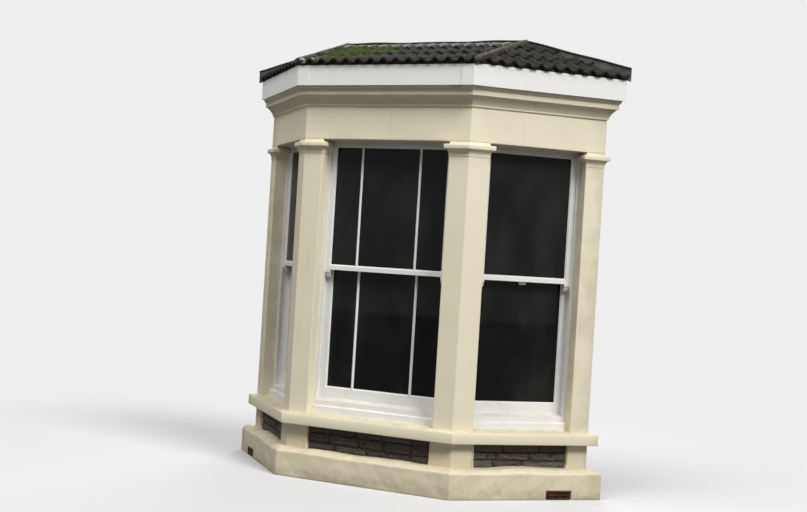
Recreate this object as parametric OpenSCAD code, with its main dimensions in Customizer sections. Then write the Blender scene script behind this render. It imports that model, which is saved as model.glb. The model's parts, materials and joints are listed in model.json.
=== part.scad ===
// Canted bay window of a terraced house, single storey, cut off at the house wall.
// Origin on the ground at the middle of the bay; +X right, -Y out of the house, +Z up.
// The plane y = 0 is the outer face of the house wall. Units are millimetres.
//
// Plan offsets are measured square to the three bay faces from the face of the
// pilasters: positive goes outwards, negative goes into the wall.

/* [Plan] */
// Width of the front face between the two pilaster corners
front_w = 1450; // [1000:10:2600]
// Distance of the front face from the house wall
bay_d = 810; // [500:10:1400]
// Angle of the two side faces to the front face
cant_deg = 45; // [35:1:60]
// Depth of the visible window reveal
reveal_d = 105; // [60:5:150]
// Depth of the box frames, and of the inner leaf that holds them
frame_d = 135; // [120:5:180]

/* [Levels] */
// Top of the rendered plinth
plinth_h = 225; // [150:5:400]
// Underside of the stone sill
sill_z = 417; // [320:1:900]
// Underside of the frieze, which is the head of the openings
head_z = 2714; // [1800:1:3000]
// Height of the frieze
frieze_h = 267; // [150:1:400]
// Height of the cornice below the fascia board
cornice_h = 156; // [110:1:220]
// Height of the fascia board
fascia_h = 153; // [100:1:260]
// Height of the tile bed at the house wall above the fascia top
roof_rise = 280; // [150:5:600]

/* [Plinth] */
// Projection of the plinth
plinth_out = 95; // [40:5:160]
// Size of the chamfer on the plinth's top edge
plinth_chamfer = 30; // [5:1:60]
// Width of an air brick
air_brick_w = 215; // [150:5:300]
// Height of an air brick
air_brick_h = 65; // [50:5:150]
// Depth of an air brick
air_brick_d = 60; // [40:5:100]
// Underside of the air bricks above the ground
air_brick_z = 5; // [5:1:80]
// Distance of an air brick's middle from the house wall, along the side face
air_brick_in = 365; // [200:5:700]
// Slots in one row of an air brick
air_brick_slots = 9; // [5:1:12]

/* [Stonework] */
// Width of the front and side faces of the corner pilasters
pilaster_w = 170; // [120:5:260]
// Width of the pilasters against the house wall
wall_pilaster_w = 156; // [100:2:240]
// Extra width of the pier bases on each side
base_extra = 8; // [0:1:30]
// Size of the worn arrises of the piers and pilasters
arris = 7; // [1:1:20]
// Size of the sill's worn front arris
sill_arris = 6; // [2:1:12]
// Distance of the stone panels behind the pilaster face
panel_setback = 18; // [0:1:60]
// Projection of the sill
sill_out = 62; // [30:1:120]
// Height of the sill's front edge
sill_edge_h = 85; // [50:1:140]
// Rise of the sill's weathered top
sill_fall = 22; // [5:1:40]
// Width of the drip groove below the sill
drip_w = 12; // [6:1:20]
// Depth of the drip groove
drip_h = 8; // [4:1:12]
// Distance of the drip groove from the sill's front edge
drip_in = 14; // [8:1:20]

/* [Capitals] */
// Projection of the capital's top slab
cap_out = 34; // [15:1:60]
// Height of the capital's top slab
cap_slab_h = 34; // [15:1:60]
// Height of the hollow moulding below the slab
cap_cove_h = 58; // [30:1:90]
// Height of the neck between the slab and the frieze
cap_neck_h = 22; // [5:1:60]

/* [Cornice and fascia] */
// Projection of the fascia's outer face
fascia_out = 100; // [80:1:160]
// Thickness of the fascia board
fascia_t = 18; // [12:1:30]
// Width of each leg of the corner covers
cover_w = 100; // [40:5:160]
// Thickness of the corner covers
cover_t = 4; // [2:0.5:8]
// Projection of the cornice's flat fillet
fillet_out = 66; // [40:1:75]
// Height of the cornice's flat fillet
fillet_h = 38; // [15:1:60]
// Height of the small step at the cornice's foot
foot_h = 12; // [5:1:25]
// Projection of the small step at the cornice's foot
foot_out = 10; // [4:1:20]
// Depth of the hollow behind the straight line between its two arrises
hollow_sink = 6; // [2:1:12]
// Height of the quarter round between the fillet and the fascia board
round_h = 36; // [20:1:50]
// Drop of the fascia board's lower edge below the cornice's top
fascia_lip = 5; // [0:1:15]

/* [Roof] */
// Reach of the tiles past the fascia
eaves_reach = 25; // [20:5:80]
// Half width of the roof's top edge at the house wall
roof_top_half = 820; // [300:10:1200]
// Number of tile courses
tile_courses = 3; // [2:1:6]
// Thickness of a course at its lower edge
tile_t = 44; // [25:1:60]
// Thickness of a course at its upper edge
tile_back_t = 14; // [8:1:25]
// Radius of the hip tiles
hip_r = 40; // [30:1:90]
// Height of the flashing's upstand above the tile bed, over the front slope
flashing_h = 58; // [50:2:150]
// The same at the eaves, where the upstand is tallest
flashing_low_h = 115; // [60:5:200]
// Width of the flashing over the front tiles
flashing_w = 190; // [60:5:260]
// Thickness of the flashing
flashing_t = 5; // [3:0.5:8]
// Depth of the seat that the steeper rafters have on the wall plate
plate_seat = 12; // [5:1:30]
// Width of the wall plate
plate_w = 95; // [60:5:120]
// Depth of the rafters
rafter_h = 125; // [75:5:175]
// Thickness of the rafters
rafter_w = 50; // [35:1:75]
// Distance between the rafters
rafter_pitch = 400; // [300:10:600]

/* [Windows] */
// Width of the box frame's visible edge in the opening
frame_edge = 20; // [10:1:40]
// Width of the box frame hidden behind the stonework
frame_hidden = 42; // [25:1:60]
// Height of the timber sub-sill's lower step
subsill_h = 50; // [30:1:80]
// Reach of the timber sub-sill in front of the box frame
subsill_out = 32; // [20:1:60]
// Top of the timber sill above the stone sill's back edge
timber_sill_h = 108; // [80:1:160]
// Height of the box frame's visible edge at the head
head_edge = 14; // [8:1:40]
// Height of the beads that guide the sashes
bead_w = 12; // [8:1:16]
// Thickness of the outer lining that stops the upper sash
lining_t = 19; // [12:1:25]
// Thickness of the bead between the two sashes
parting_t = 8; // [6:1:12]
// Depth of one sash
sash_d = 44; // [35:1:55]
// Face width of the sash stiles
stile_w = 56; // [40:1:80]
// Face height of the top rail
top_rail_h = 53; // [40:1:80]
// Face height of the bottom rail
bottom_rail_h = 92; // [60:1:140]
// Face height of the meeting rails
meeting_h = 43; // [30:1:60]
// Length of the run-through horns
horn_h = 60; // [30:1:100]
// Thickness of the panes
glass_t = 6; // [4:1:24]

/* [Inside] */
// Top of the bay's floor boards
floor_z = 200; // [100:5:220]
// Underside of the bay's ceiling
ceiling_z = 2880; // [2780:5:2960]
// Reach of the window board into the room
board_reach = 45; // [20:5:120]
// Thickness of the window board
board_t = 22; // [15:1:30]
// Thickness of the floor boards
floor_t = 22; // [15:1:30]
// Thickness of the ceiling board
ceiling_t = 13; // [9:1:20]
// Depth of the floor and ceiling joists
joist_h = 100; // [75:5:110]
// Thickness of the joists
joist_w = 50; // [35:1:75]
// Distance between the joists
joist_pitch = 400; // [300:10:600]
// Reach of the inner leaf into the opening in the house wall
return_d = 100; // [60:5:200]

/* [Hidden] */
$fn = 48;
// stack of levels
sill_top_z = sill_z + sill_edge_h;
seat_z = sill_top_z + sill_fall;
frieze_top_z = head_z + frieze_h;
fascia_z = frieze_top_z + cornice_h;
fascia_foot_z = fascia_z - fascia_lip;
fascia_top_z = fascia_z + fascia_h;
cap_slab_z = head_z - cap_neck_h - cap_slab_h;
cap_z = cap_slab_z - cap_cove_h;
timber_sill_z = seat_z + timber_sill_h;
// plan figures
inner_o = -(reveal_d + frame_d);
half_cant = cant_deg / 2;
side_l = bay_d / sin(cant_deg);
front_open_w = front_w - 2 * pilaster_w;
side_open_w = side_l - pilaster_w - wall_pilaster_w;
side_mid = pilaster_w + side_open_w / 2;
// roof planes: both pass through the eaves line and the top corner at the wall
eaves_o = fascia_out + eaves_reach;
roof_run = bay_d + eaves_o;
roof_fall = roof_rise / (bay_d + fascia_out);
eaves_z = fascia_top_z - eaves_reach * roof_fall;
roof_top_z = fascia_top_z + roof_rise;
side_run = (wall_x(eaves_o) - roof_top_half) * sin(cant_deg);
// window joinery: depths of the two tracks behind the pilaster face
play = 2;
track_1 = reveal_d + lining_t;
track_2 = track_1 + sash_d + play + parting_t;
staff_at = track_2 + sash_d + play;
// sash moulding: its width, the cover over the pane's edge, and the putty's depth
moulding_w = 18;
rebate = 6;
putty_d = 11;
// reach of each meeting rail towards the other, leaving 2 mm between them
meet_reach = (play + parting_t) / 2 - 1;
// fall of the timber sill towards its front edge
nose_fall = 16;
// heights of the sight lines
upper_top_z = head_z - head_edge + bead_w - top_rail_h;
lower_bottom_z = timber_sill_z + bottom_rail_h;
meeting_z = (upper_top_z + lower_bottom_z) / 2;
meet_lo = meeting_z - meeting_h / 2;
meet_hi = meeting_z + meeting_h / 2;
// slopes of the roof's underside
front_fall = (roof_top_z - eaves_z) / roof_run;
side_fall = (roof_top_z - eaves_z) / side_run;
// wall plate, high enough for the rafters of all three slopes
plate_o = -reveal_d - 5;
plate_top_z = under(plate_o, max(front_fall, side_fall)) - rafter_h + plate_seat;
hip_top = [roof_top_half, 0, roof_top_z];
hip_foot = [corner_x(eaves_o), -roof_run, eaves_z];
// reach of cutting bodies: past any offset, past the middle of the bay, past the whole bay
reach = reveal_d + plinth_out + fascia_out;
deep = 5000;
big = 6000;
// paint and material tones
cream = [0.86, 0.82, 0.70];
white = [0.88, 0.88, 0.86];
pennant = [0.30, 0.27, 0.24];
tile_grey = [0.24, 0.23, 0.21];

// Plan helpers

// x of the front corner and of the wall end of the face at a plan offset
function corner_x(o) = front_w / 2 + o * tan(half_cant);
function wall_x(o) = corner_x(o) + (bay_d + o) / tan(cant_deg);
function flip(points) = [for (p = points) [-p[0], p[1]]];
function back(points) = [for (i = [len(points) - 1:-1:0]) points[i]];
// outline of the bay at a plan offset, from the left wall end to the right one
function half_line(o) = [[corner_x(o), -(bay_d + o)], [wall_x(o), 0]];
function outline(o) = concat(flip(back(half_line(o))), half_line(o));
// outward normal of a path's leg, and the mitre vector at one of its points
function unit(v) = v / norm(v);
function normal(a, b) = [unit(b - a)[1], -unit(b - a)[0]];
function join(n, m) = (n + m) / (1 + n * m);
function mitre(path, ends, i) =
    i == 0 ? ends[0] :
    i == len(path) - 1 ? ends[1] :
    join(normal(path[i - 1], path[i]), normal(path[i], path[i + 1]));
// distance from the front corner to the house wall, along the side face
function side_end(o) = (wall_x(o) - front_w / 2) * cos(cant_deg) + bay_d * sin(cant_deg);

// The line of the pilaster faces round the bay, and its mitres in the wall plane.
bay_path = outline(0);
bay_ends = [[-1 / sin(cant_deg), 0], [1 / sin(cant_deg), 0]];
// unit vectors along and into the right side face
side_u = [cos(cant_deg), sin(cant_deg)];
side_n = [-sin(cant_deg), cos(cant_deg)];
corner = [front_w / 2, -bay_d];

// One leg of a moulding. The child is its profile, drawn as [offset, level].
module leg(path, ends, i, reach_in, reach_out) {
    a = path[i];
    b = path[i + 1];
    ma = mitre(path, ends, i);
    mb = mitre(path, ends, i + 1);
    length = norm(b - a);
    spare = 2 * (reach_in + reach_out);
    intersection() {
        translate(a)
            rotate([0, 0, atan2(b[1] - a[1], b[0] - a[0])])
                translate([-spare, 0, 0])
                    rotate([90, 0, 90])
                        linear_extrude(length + 2 * spare)
                            mirror([1, 0])
                                children();
        linear_extrude(big)
            polygon([a - reach_in * ma, a + reach_out * ma, b + reach_out * mb, b - reach_in * mb]);
    }
}

// The front leg and the right-hand leg of a moulding that runs round the bay.
module front_leg() {
    leg(bay_path, bay_ends, 1, reach, reach)
        children();
}

module side_leg() {
    leg(bay_path, bay_ends, 2, reach, reach)
        children();
}

// A moulding round a convex path, with true mitres: what lies behind all its legs.
// The child is the profile, drawn as [offset, level] and carried far inwards.
module ring(path) {
    intersection_for(i = [0:len(path) - 2])
        translate(path[i])
            rotate([0, 0, atan2(path[i + 1][1] - path[i][1], path[i + 1][0] - path[i][0])])
                along()
                    children();
}

// The same round the whole bay, hollowed to an inner offset and cut at the wall.
module bay_ring(inner) {
    difference() {
        ring(bay_path)
            children();
        slab(inner, -1, big);
        house_side();
    }
}

// Everything behind the outer face of the house wall.
module house_side() {
    translate([-2 * big, 0, -1])
        cube([4 * big, 2 * big, 2 * big]);
}

// A profile run far both ways along the local x axis.
module along() {
    translate([-big / 2, 0, 0])
        rotate([90, 0, 90])
            linear_extrude(big)
                mirror([1, 0])
                    children();
}

// Solid between two plan offsets and two levels, all round the bay.
module band(o_out, o_in, z0, z1) {
    translate([0, 0, z0])
        linear_extrude(z1 - z0)
            polygon(concat(outline(o_out), back(outline(o_in))));
}

// Whole plan inside one offset.
module slab(o, z0, z1) {
    translate([0, 0, z0])
        linear_extrude(z1 - z0)
            polygon(outline(o));
}

// Local axes of the faces: x along the face, y into the wall, z up.
module on_front() {
    translate([0, -bay_d, 0])
        children();
}

module on_side() {
    translate(corner)
        rotate([0, 0, cant_deg])
            children();
}

module both() {
    children();
    mirror([1, 0, 0])
        children();
}

// Plinth and air bricks

module plinth_profile() {
    polygon([
        [-deep, 0], [plinth_out, 0], [plinth_out, plinth_h - plinth_chamfer],
        [plinth_out - plinth_chamfer, plinth_h], [-deep, plinth_h]
    ]);
}

// Middle of an air brick, in the plane of the plinth's side face.
module air_brick_place() {
    on_side()
        translate([side_end(plinth_out) - air_brick_in, -plinth_out, air_brick_z])
            children();
}

// The air bricks sit in pockets, and a duct behind each leads through the plinth.
module plinth() {
    rim = 10;
    color(cream)
        difference() {
            bay_ring(inner_o) plinth_profile();
            both() air_brick_place() {
                translate([-air_brick_w / 2, -1, 0])
                    cube([air_brick_w, air_brick_d + 1, air_brick_h]);
                translate([rim - air_brick_w / 2, 0, rim])
                    cube([air_brick_w - 2 * rim, plinth_out - inner_o + 1, air_brick_h - 2 * rim]);
            }
        }
}

module air_brick() {
    rim = 12;
    bar = 8;
    inset = 2;
    pitch = (air_brick_w - 2 * rim) / air_brick_slots;
    slot = [pitch - bar, air_brick_d + 1, (air_brick_h - bar) / 2 - rim];
    difference() {
        translate([-air_brick_w / 2, inset, 0])
            cube([air_brick_w, air_brick_d - inset, air_brick_h]);
        for (i = [0:air_brick_slots - 1], z = [rim, (air_brick_h + bar) / 2])
            translate([rim - air_brick_w / 2 + i * pitch + bar / 2, 0, z])
                cube(slot);
    }
}

module air_bricks() {
    color([0.42, 0.18, 0.12])
        both() air_brick_place() air_brick();
}

// Stonework below the windows

// Outer lines of the piers in plan, from one reveal round to the other.
function corner_line(w) = [[front_w / 2 - w, -bay_d], corner, corner + w * side_u];
function wall_line(w) = [corner + (side_l - w) * side_u, [wall_x(0), 0]];
// an arris between two neighbours, worn to a small curve
function worn(a, p, b) =
    let (q = p + arris * unit(a - p), s = p + arris * unit(b - p))
        [for (t = [0:0.25:1]) (1 - t) * (1 - t) * q + 2 * t * (1 - t) * p + t * t * s];

// Plan of a corner pier and of a wall pier, as deep as the reveal.
module corner_plan(w) {
    c = corner_line(w);
    in_a = c[0] + [0, reveal_d];
    in_b = c[2] + reveal_d * side_n;
    polygon(concat(
        worn(in_a, c[0], c[1]), worn(c[0], c[1], c[2]), worn(c[1], c[2], in_b),
        [in_b, [corner_x(-reveal_d), -bay_d + reveal_d], in_a]
    ));
}

module wall_plan(w) {
    c = wall_line(w);
    in_a = c[0] + reveal_d * side_n;
    polygon(concat(worn(in_a, c[0], c[1]), [c[1], [wall_x(-reveal_d), 0], in_a]));
}

module pier_bases() {
    color(cream)
        both() translate([0, 0, plinth_h])
            linear_extrude(sill_z - plinth_h) {
                corner_plan(pilaster_w + base_extra);
                wall_plan(wall_pilaster_w + base_extra);
            }
}

module panel(w) {
    color(pennant)
        translate([-w / 2, panel_setback, plinth_h])
            cube([w, reveal_d - panel_setback, sill_z - plinth_h]);
}

module stone_front() {
    on_front() panel(front_open_w - 2 * base_extra);
}

module stone_right() {
    on_side() translate([side_mid, 0, 0]) panel(side_open_w - 2 * base_extra);
}

module stone_left() {
    mirror([1, 0, 0])
        stone_right();
}

// Top of the stone sill at a plan offset.
function stone_top(o) =
    sill_top_z + sill_fall * (sill_out - sill_arris - o) / (sill_out - sill_arris + reveal_d);

module sill_profile() {
    drip = sill_out - drip_in;
    half = sill_arris / 2;
    third = sill_arris / 3;
    polygon([
        [-reveal_d, sill_z], [drip - drip_w, sill_z], [drip - drip_w, sill_z + drip_h],
        [drip, sill_z + drip_h], [drip, sill_z], [sill_out - half, sill_z],
        [sill_out, sill_z + half], [sill_out, sill_top_z - 3 * half],
        [sill_out - third, sill_top_z - half], [sill_out - sill_arris, sill_top_z],
        [-reveal_d, seat_z]
    ]);
}

module sill_front() {
    color(cream)
        front_leg() sill_profile();
}

module sill_right() {
    color(cream)
        side_leg() sill_profile();
}

module sill_left() {
    mirror([1, 0, 0])
        sill_right();
}

// Pilasters and capitals

// Everything below the sill's weathered top, carried far inwards.
module under_weathering() {
    ring(bay_path)
        polygon([
            [-deep, sill_z], [sill_out, sill_z], [sill_out, stone_top(sill_out)], [-deep, stone_top(-deep)]
        ]);
}

// Shafts are cut at the foot to the slope of the sill.
module shaft_corner_right() {
    color(cream)
        difference() {
            translate([0, 0, sill_top_z])
                linear_extrude(cap_z - sill_top_z)
                    corner_plan(pilaster_w);
            under_weathering();
        }
}

module shaft_wall_right() {
    color(cream)
        difference() {
            translate([0, 0, sill_top_z])
                linear_extrude(cap_z - sill_top_z)
                    wall_plan(wall_pilaster_w);
            under_weathering();
        }
}

module shaft_corner_left() {
    mirror([1, 0, 0])
        shaft_corner_right();
}

module shaft_wall_left() {
    mirror([1, 0, 0])
        shaft_wall_right();
}

// Slab and hollow moulding that run round a pier's head.
module cap_profile() {
    step = 3;
    bead_h = 8;
    lip = cap_out - 4;
    chamfer = 5;
    slab_top_z = cap_slab_z + cap_slab_h;
    rise = cap_cove_h - bead_h - 2;
    polygon(concat(
        [[-deep, cap_z], [step, cap_z], [step, cap_z + bead_h]],
        [for (a = [10:10:90]) [step + (lip - step) * (1 - cos(a)), cap_z + bead_h + rise * sin(a)]],
        [
            [lip, cap_slab_z], [cap_out, cap_slab_z], [cap_out, slab_top_z - chamfer],
            [cap_out - chamfer, slab_top_z], [0, slab_top_z], [0, head_z], [-deep, head_z]
        ]
    ));
}

module capitals() {
    c = corner_line(pilaster_w);
    w = wall_line(wall_pilaster_w);
    color(cream)
        both() difference() {
            union() {
                ring([c[0] + [0, reveal_d], c[0], c[1], c[2], c[2] + reveal_d * side_n])
                    cap_profile();
                ring([w[0] + reveal_d * side_n, w[0], w[1]])
                    cap_profile();
            }
            slab(-reveal_d, 0, big);
            house_side();
        }
}

// Frieze and cornice

module frieze_profile() {
    polygon([[-reveal_d, head_z], [0, head_z], [0, frieze_top_z], [-reveal_d, frieze_top_z]]);
}

module frieze_front() {
    color(cream)
        front_leg() frieze_profile();
}

module frieze_right() {
    color(cream)
        side_leg() frieze_profile();
}

module frieze_left() {
    mirror([1, 0, 0])
        frieze_right();
}

// Foot, slanting hollow, flat fillet and a quarter round under the fascia, from the bottom up.
module cornice_profile() {
    quirk = 8;
    top_step = 8;
    steps = 10;
    hollow_z = frieze_top_z + foot_h;
    round_z = fascia_z - round_h;
    fillet_z = round_z - fillet_h;
    rise = fillet_z - hollow_z;
    sweep = fillet_out - quirk - foot_out;
    inward = [-rise, sweep] / norm([rise, sweep]);
    round_in = fillet_out - top_step;
    round_w = fascia_out - fascia_t - round_in;
    polygon(concat(
        [[-deep, frieze_top_z], [foot_out, frieze_top_z]],
        [for (i = [0:steps]) let (t = i / steps)
            [foot_out, hollow_z] + t * [sweep, rise] + 4 * t * (1 - t) * hollow_sink * inward],
        [[fillet_out, fillet_z], [fillet_out, round_z], [round_in, round_z]],
        [for (a = [10:10:90]) [round_in + round_w * sin(a), round_z + round_h * (1 - cos(a))]],
        [[-deep, fascia_z]]
    ));
}

module cornice() {
    color(cream)
        bay_ring(-reveal_d) cornice_profile();
}

// Fascia boards with a short lip below, and the covers over their corner joints

// The board's top edge lies against the underside of the tiles.
module fascia_profile(fall) {
    back_o = fascia_out - fascia_t;
    polygon([
        [back_o, fascia_foot_z], [fascia_out, fascia_foot_z],
        [fascia_out, under(fascia_out, fall)], [back_o, under(back_o, fall)]
    ]);
}

module fascia_front() {
    color(white)
        front_leg() fascia_profile(front_fall);
}

module fascia_right() {
    color(white)
        side_leg() fascia_profile(side_fall);
}

module fascia_left() {
    mirror([1, 0, 0])
        fascia_right();
}

module fascia_covers() {
    gap = 2;
    c = [corner_x(fascia_out), -(bay_d + fascia_out)];
    d = [corner_x(fascia_out + cover_t), -(bay_d + fascia_out + cover_t)];
    color(white)
        both() translate([0, 0, fascia_foot_z])
            linear_extrude(fascia_top_z - fascia_foot_z - gap)
                polygon([
                    c, c - [cover_w, 0], [c[0] - cover_w, d[1]], d,
                    c + cover_w * side_u - cover_t * side_n, c + cover_w * side_u
                ]);
}

// Roof

// Level of the tiles' underside at a plan offset.
function under(o, fall) = eaves_z + (eaves_o - o) * fall;
// x of the hip line at a given y
function hip_x(y) = roof_top_half + (hip_foot[0] - roof_top_half) * -y / roof_run;
// top surface of the courses, from the wall down to the eaves, as [offset, level]
function course_tops(reach, fall) = [
    for (i = [tile_courses - 1:-1:0], k = [1, 0])
        let (o = eaves_o - reach * (i + k) / tile_courses)
            [o, under(o, fall) + (k == 1 ? tile_back_t : tile_t)]
];

// Stepped courses between their underside and top, with extra depth below if wanted.
module courses(reach, fall, depth) {
    polygon(concat(
        [[eaves_o, eaves_z - depth], [eaves_o - reach, under(eaves_o - reach, fall) - depth]],
        course_tops(reach, fall)
    ));
}

// Plans of the front slope and of the right slope, up to the flashing.
module front_plan(inset) {
    y = -inset;
    polygon([
        [-hip_foot[0], hip_foot[1]], [hip_foot[0], hip_foot[1]], [hip_x(y), y], [-hip_x(y), y]
    ]);
}

module side_plan(inset) {
    y = -inset;
    polygon([
        [hip_foot[0], hip_foot[1]], [wall_x(eaves_o) + y / tan(cant_deg), y], [hip_x(y), y]
    ]);
}

module front_slope(depth) {
    intersection() {
        on_front() along() courses(roof_run, front_fall, depth);
        linear_extrude(big) front_plan(flashing_t);
    }
}

module side_slope(depth) {
    intersection() {
        on_side() along() courses(side_run, side_fall, depth);
        linear_extrude(big) side_plan(flashing_t);
    }
}

module roof_front() {
    color(tile_grey)
        front_slope(0);
}

module roof_right() {
    color(tile_grey)
        side_slope(0);
}

module roof_left() {
    mirror([1, 0, 0])
        roof_right();
}

// Hip tiles bedded on both slopes.
module hip_tile() {
    v = hip_top - hip_foot;
    plan_deg = atan2(v[1], v[0]);
    tilt_deg = atan2(v[2], norm([v[0], v[1]]));
    difference() {
        translate(hip_foot + [0, 0, tile_back_t])
            rotate([0, 90 - tilt_deg, plan_deg])
                cylinder(r = hip_r, h = norm(v));
        front_slope(reach);
        side_slope(reach);
        // what lies below both slopes, across the joint between them
        intersection() {
            on_front() along() courses(roof_run, front_fall, reach);
            on_side() along() courses(side_run, side_fall, reach);
        }
        translate([0, -flashing_t, 0])
            cube(big);
        translate([0, -roof_run - big, 0])
            cube(big);
    }
}

module hip_tiles() {
    color(tile_grey)
        both() hip_tile();
}

// Lead along the house wall: an upstand, and an apron over the top of the front tiles.
module flashing() {
    side_x = wall_x(eaves_o);
    upstand = [
        [0, roof_top_z], [roof_top_half, roof_top_z], [side_x, eaves_z],
        [side_x, eaves_z + flashing_low_h], [roof_top_half, roof_top_z + flashing_h],
        [0, roof_top_z + flashing_h]
    ];
    top = course_tops(roof_run, front_fall);
    share = flashing_w / (roof_run / tile_courses);
    low = top[0] + (top[1] - top[0]) * share;
    hip_gap = 20;
    lap = 0.5;
    half = roof_top_half - hip_r - hip_gap;
    color([0.42, 0.43, 0.45]) {
        both() rotate([90, 0, 0])
            linear_extrude(flashing_t)
                polygon(upstand);
        intersection() {
            on_front() along() polygon([
                top[0], low, low + [0, flashing_t], top[0] + [0, flashing_t]
            ]);
            translate([-half, -big / 2, 0])
                cube([2 * half, big / 2 - flashing_t + lap, big]);
        }
    }
}

// Wall plate, rafters, hip rafters and ledgers.
module roof_timbers() {
    hip_room = 2 * rafter_w;
    color([0.62, 0.46, 0.28])
        union() {
            band(plate_o, plate_o - plate_w, fascia_z, plate_top_z);
            intersection() {
                linear_extrude(big) front_plan(0);
                on_front() along() rafter_profile(front_fall, roof_run);
                slab(fascia_out - fascia_t, 0, big);
                union() {
                    on_front() rafters(floor((roof_top_half - hip_room) / rafter_pitch));
                    ledger();
                    both() hip_strip();
                }
            }
            both() intersection() {
                linear_extrude(big) side_plan(0);
                on_side() along() rafter_profile(side_fall, side_run);
                slab(fascia_out - fascia_t, 0, big);
                union() {
                    on_side() translate([side_l / 2, 0, 0])
                        rafters(floor((side_l / 2 - hip_room) / rafter_pitch));
                    ledger();
                    hip_strip();
                }
            }
            // hip rafters in one piece across the joint between the slopes
            both() difference() {
                intersection() {
                    on_front() along() rafter_profile(front_fall, roof_run);
                    on_side() along() rafter_profile(side_fall, side_run);
                    slab(fascia_out - fascia_t, 0, big);
                    hip_strip();
                }
                house_side();
            }
        }
}

// Upright strips, one in the middle and n at each side of it, that cut out the rafters.
module rafters(n) {
    for (i = [-n:n])
        translate([i * rafter_pitch - rafter_w / 2, -reach, 0])
            cube([rafter_w, big, big]);
}

module ledger() {
    translate([-big / 2, -rafter_w, 0])
        cube([big, rafter_w, big]);
}

// Depth of the rafters below the tiles, from the eaves to the wall.
module rafter_profile(fall, run) {
    polygon([
        [eaves_o, eaves_z], [eaves_o, eaves_z - rafter_h],
        [eaves_o - run, under(eaves_o - run, fall) - rafter_h], [eaves_o - run, under(eaves_o - run, fall)]
    ]);
}

// Plan strip below the hip.
module hip_strip() {
    v = hip_top - hip_foot;
    translate([hip_foot[0], hip_foot[1], 0])
        rotate([0, 0, atan2(v[1], v[0])])
            translate([0, -rafter_w / 2, 0])
                cube([norm(v), rafter_w, big]);
}

// Inner leaf, with the openings for the three box frames cut through

// Outline of the inside, carried into the opening in the house wall.
function deep_line(o) = [half_line(o)[0], [wall_x(o) + return_d / tan(cant_deg), return_d]];
function deep_outline(o) = concat(flip(back(deep_line(o))), deep_line(o));
leaf_line = [
    half_line(-reveal_d)[0], half_line(-reveal_d)[1], [wall_x(-reveal_d), return_d]
];

module opening(w) {
    translate([-w / 2 - frame_hidden, reveal_d - 1, seat_z])
        cube([w + 2 * frame_hidden, frame_d + 2, head_z + frame_hidden - seat_z]);
}

module inner_leaf() {
    color([0.84, 0.82, 0.77])
        difference() {
            translate([0, 0, plinth_h])
                linear_extrude(fascia_z - plinth_h)
                    polygon(concat(flip(back(leaf_line)), leaf_line, back(deep_outline(inner_o))));
            on_front() opening(front_open_w);
            both() on_side() translate([side_mid, 0, 0]) opening(side_open_w);
        }
}

// Windows, drawn about x = 0 with the pilaster face at y = 0

module along_x(w) {
    translate([-w / 2, 0, 0])
        rotate([90, 0, 90])
            linear_extrude(w)
                children();
}

// Section of a box frame's jamb or head: two tracks between three beads.
function box_section(edge, bead, outer) = [
    [edge, reveal_d], [outer, reveal_d], [outer, reveal_d + frame_d], [edge, reveal_d + frame_d],
    [edge, staff_at], [edge + bead, staff_at], [edge + bead, track_2], [edge, track_2],
    [edge, track_2 - parting_t], [edge + bead, track_2 - parting_t],
    [edge + bead, track_1], [edge, track_1]
];

// Section of the timber sill inside the frame, and of its nosing in front of it.
module sill_section() {
    sill_in = reveal_d + frame_d;
    polygon([
        [reveal_d, seat_z], [sill_in, seat_z], [sill_in, timber_sill_z],
        [track_2 - parting_t, timber_sill_z], [reveal_d, timber_sill_z - nose_fall]
    ]);
}

module nose_section() {
    step_z = seat_z + subsill_h;
    front = reveal_d - subsill_out;
    upright = reveal_d - 6;
    soft = 5;
    polygon([
        [front, stone_top(-front)], [reveal_d, seat_z], [reveal_d, timber_sill_z - nose_fall],
        [upright, timber_sill_z - nose_fall - 2], [upright, step_z + soft], [front + soft, step_z],
        [front, step_z - soft]
    ]);
}

module box_frame(w) {
    edge = w / 2 - frame_edge;
    outer = w / 2 + frame_hidden;
    top = head_z + frame_hidden;
    color(white)
        union() {
            both() translate([0, 0, seat_z])
                linear_extrude(top - seat_z)
                    polygon(box_section(edge, bead_w, outer));
            along_x(2 * outer) mirror([1, -1])
                polygon(box_section(head_z - head_edge, bead_w, top));
            along_x(2 * outer - 2) sill_section();
            along_x(w) nose_section();
        }
}

// Ring of sash moulding round a sight opening: putty bevel, pane groove, inner ovolo.
module sight_ring(w, z0, z1, y0) {
    y1 = y0 + sash_d;
    g0 = y0 + putty_d;
    bevel = 9;
    path = [[-w / 2, z0], [w / 2, z0], [w / 2, z1], [-w / 2, z1], [-w / 2, z0]];
    first = join(normal(path[3], path[4]), normal(path[0], path[1]));
    mirror([0, 1, -1])
        for (i = [0:3])
            leg(path, [first, first], i, 0, moulding_w + 2)
                polygon([
                    [bevel, y0], [moulding_w, y0], [moulding_w, y1], [bevel, y1], [8, y1 - 5],
                    [5, y1 - 9], [0, y1 - 12], [0, g0 + glass_t], [rebate, g0 + glass_t],
                    [rebate, g0], [0, g0]
                ]);
}

// A sash as a block with one sight opening; the ring forms the opening's edges.
module sash(w, z0, z1, s0, s1, y0, stile) {
    sw = w - 2 * stile;
    ring_w = moulding_w - 1;
    difference() {
        translate([-w / 2, y0, z0]) cube([w, sash_d, z1 - z0]);
        translate([-sw / 2 - ring_w, y0 - 1, s0 - ring_w])
            cube([sw + 2 * ring_w, sash_d + 2, s1 - s0 + 2 * ring_w]);
    }
    sight_ring(sw, s0, s1, y0);
}

function sash_w(w) = w - 2 * (frame_edge - bead_w + play);

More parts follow.
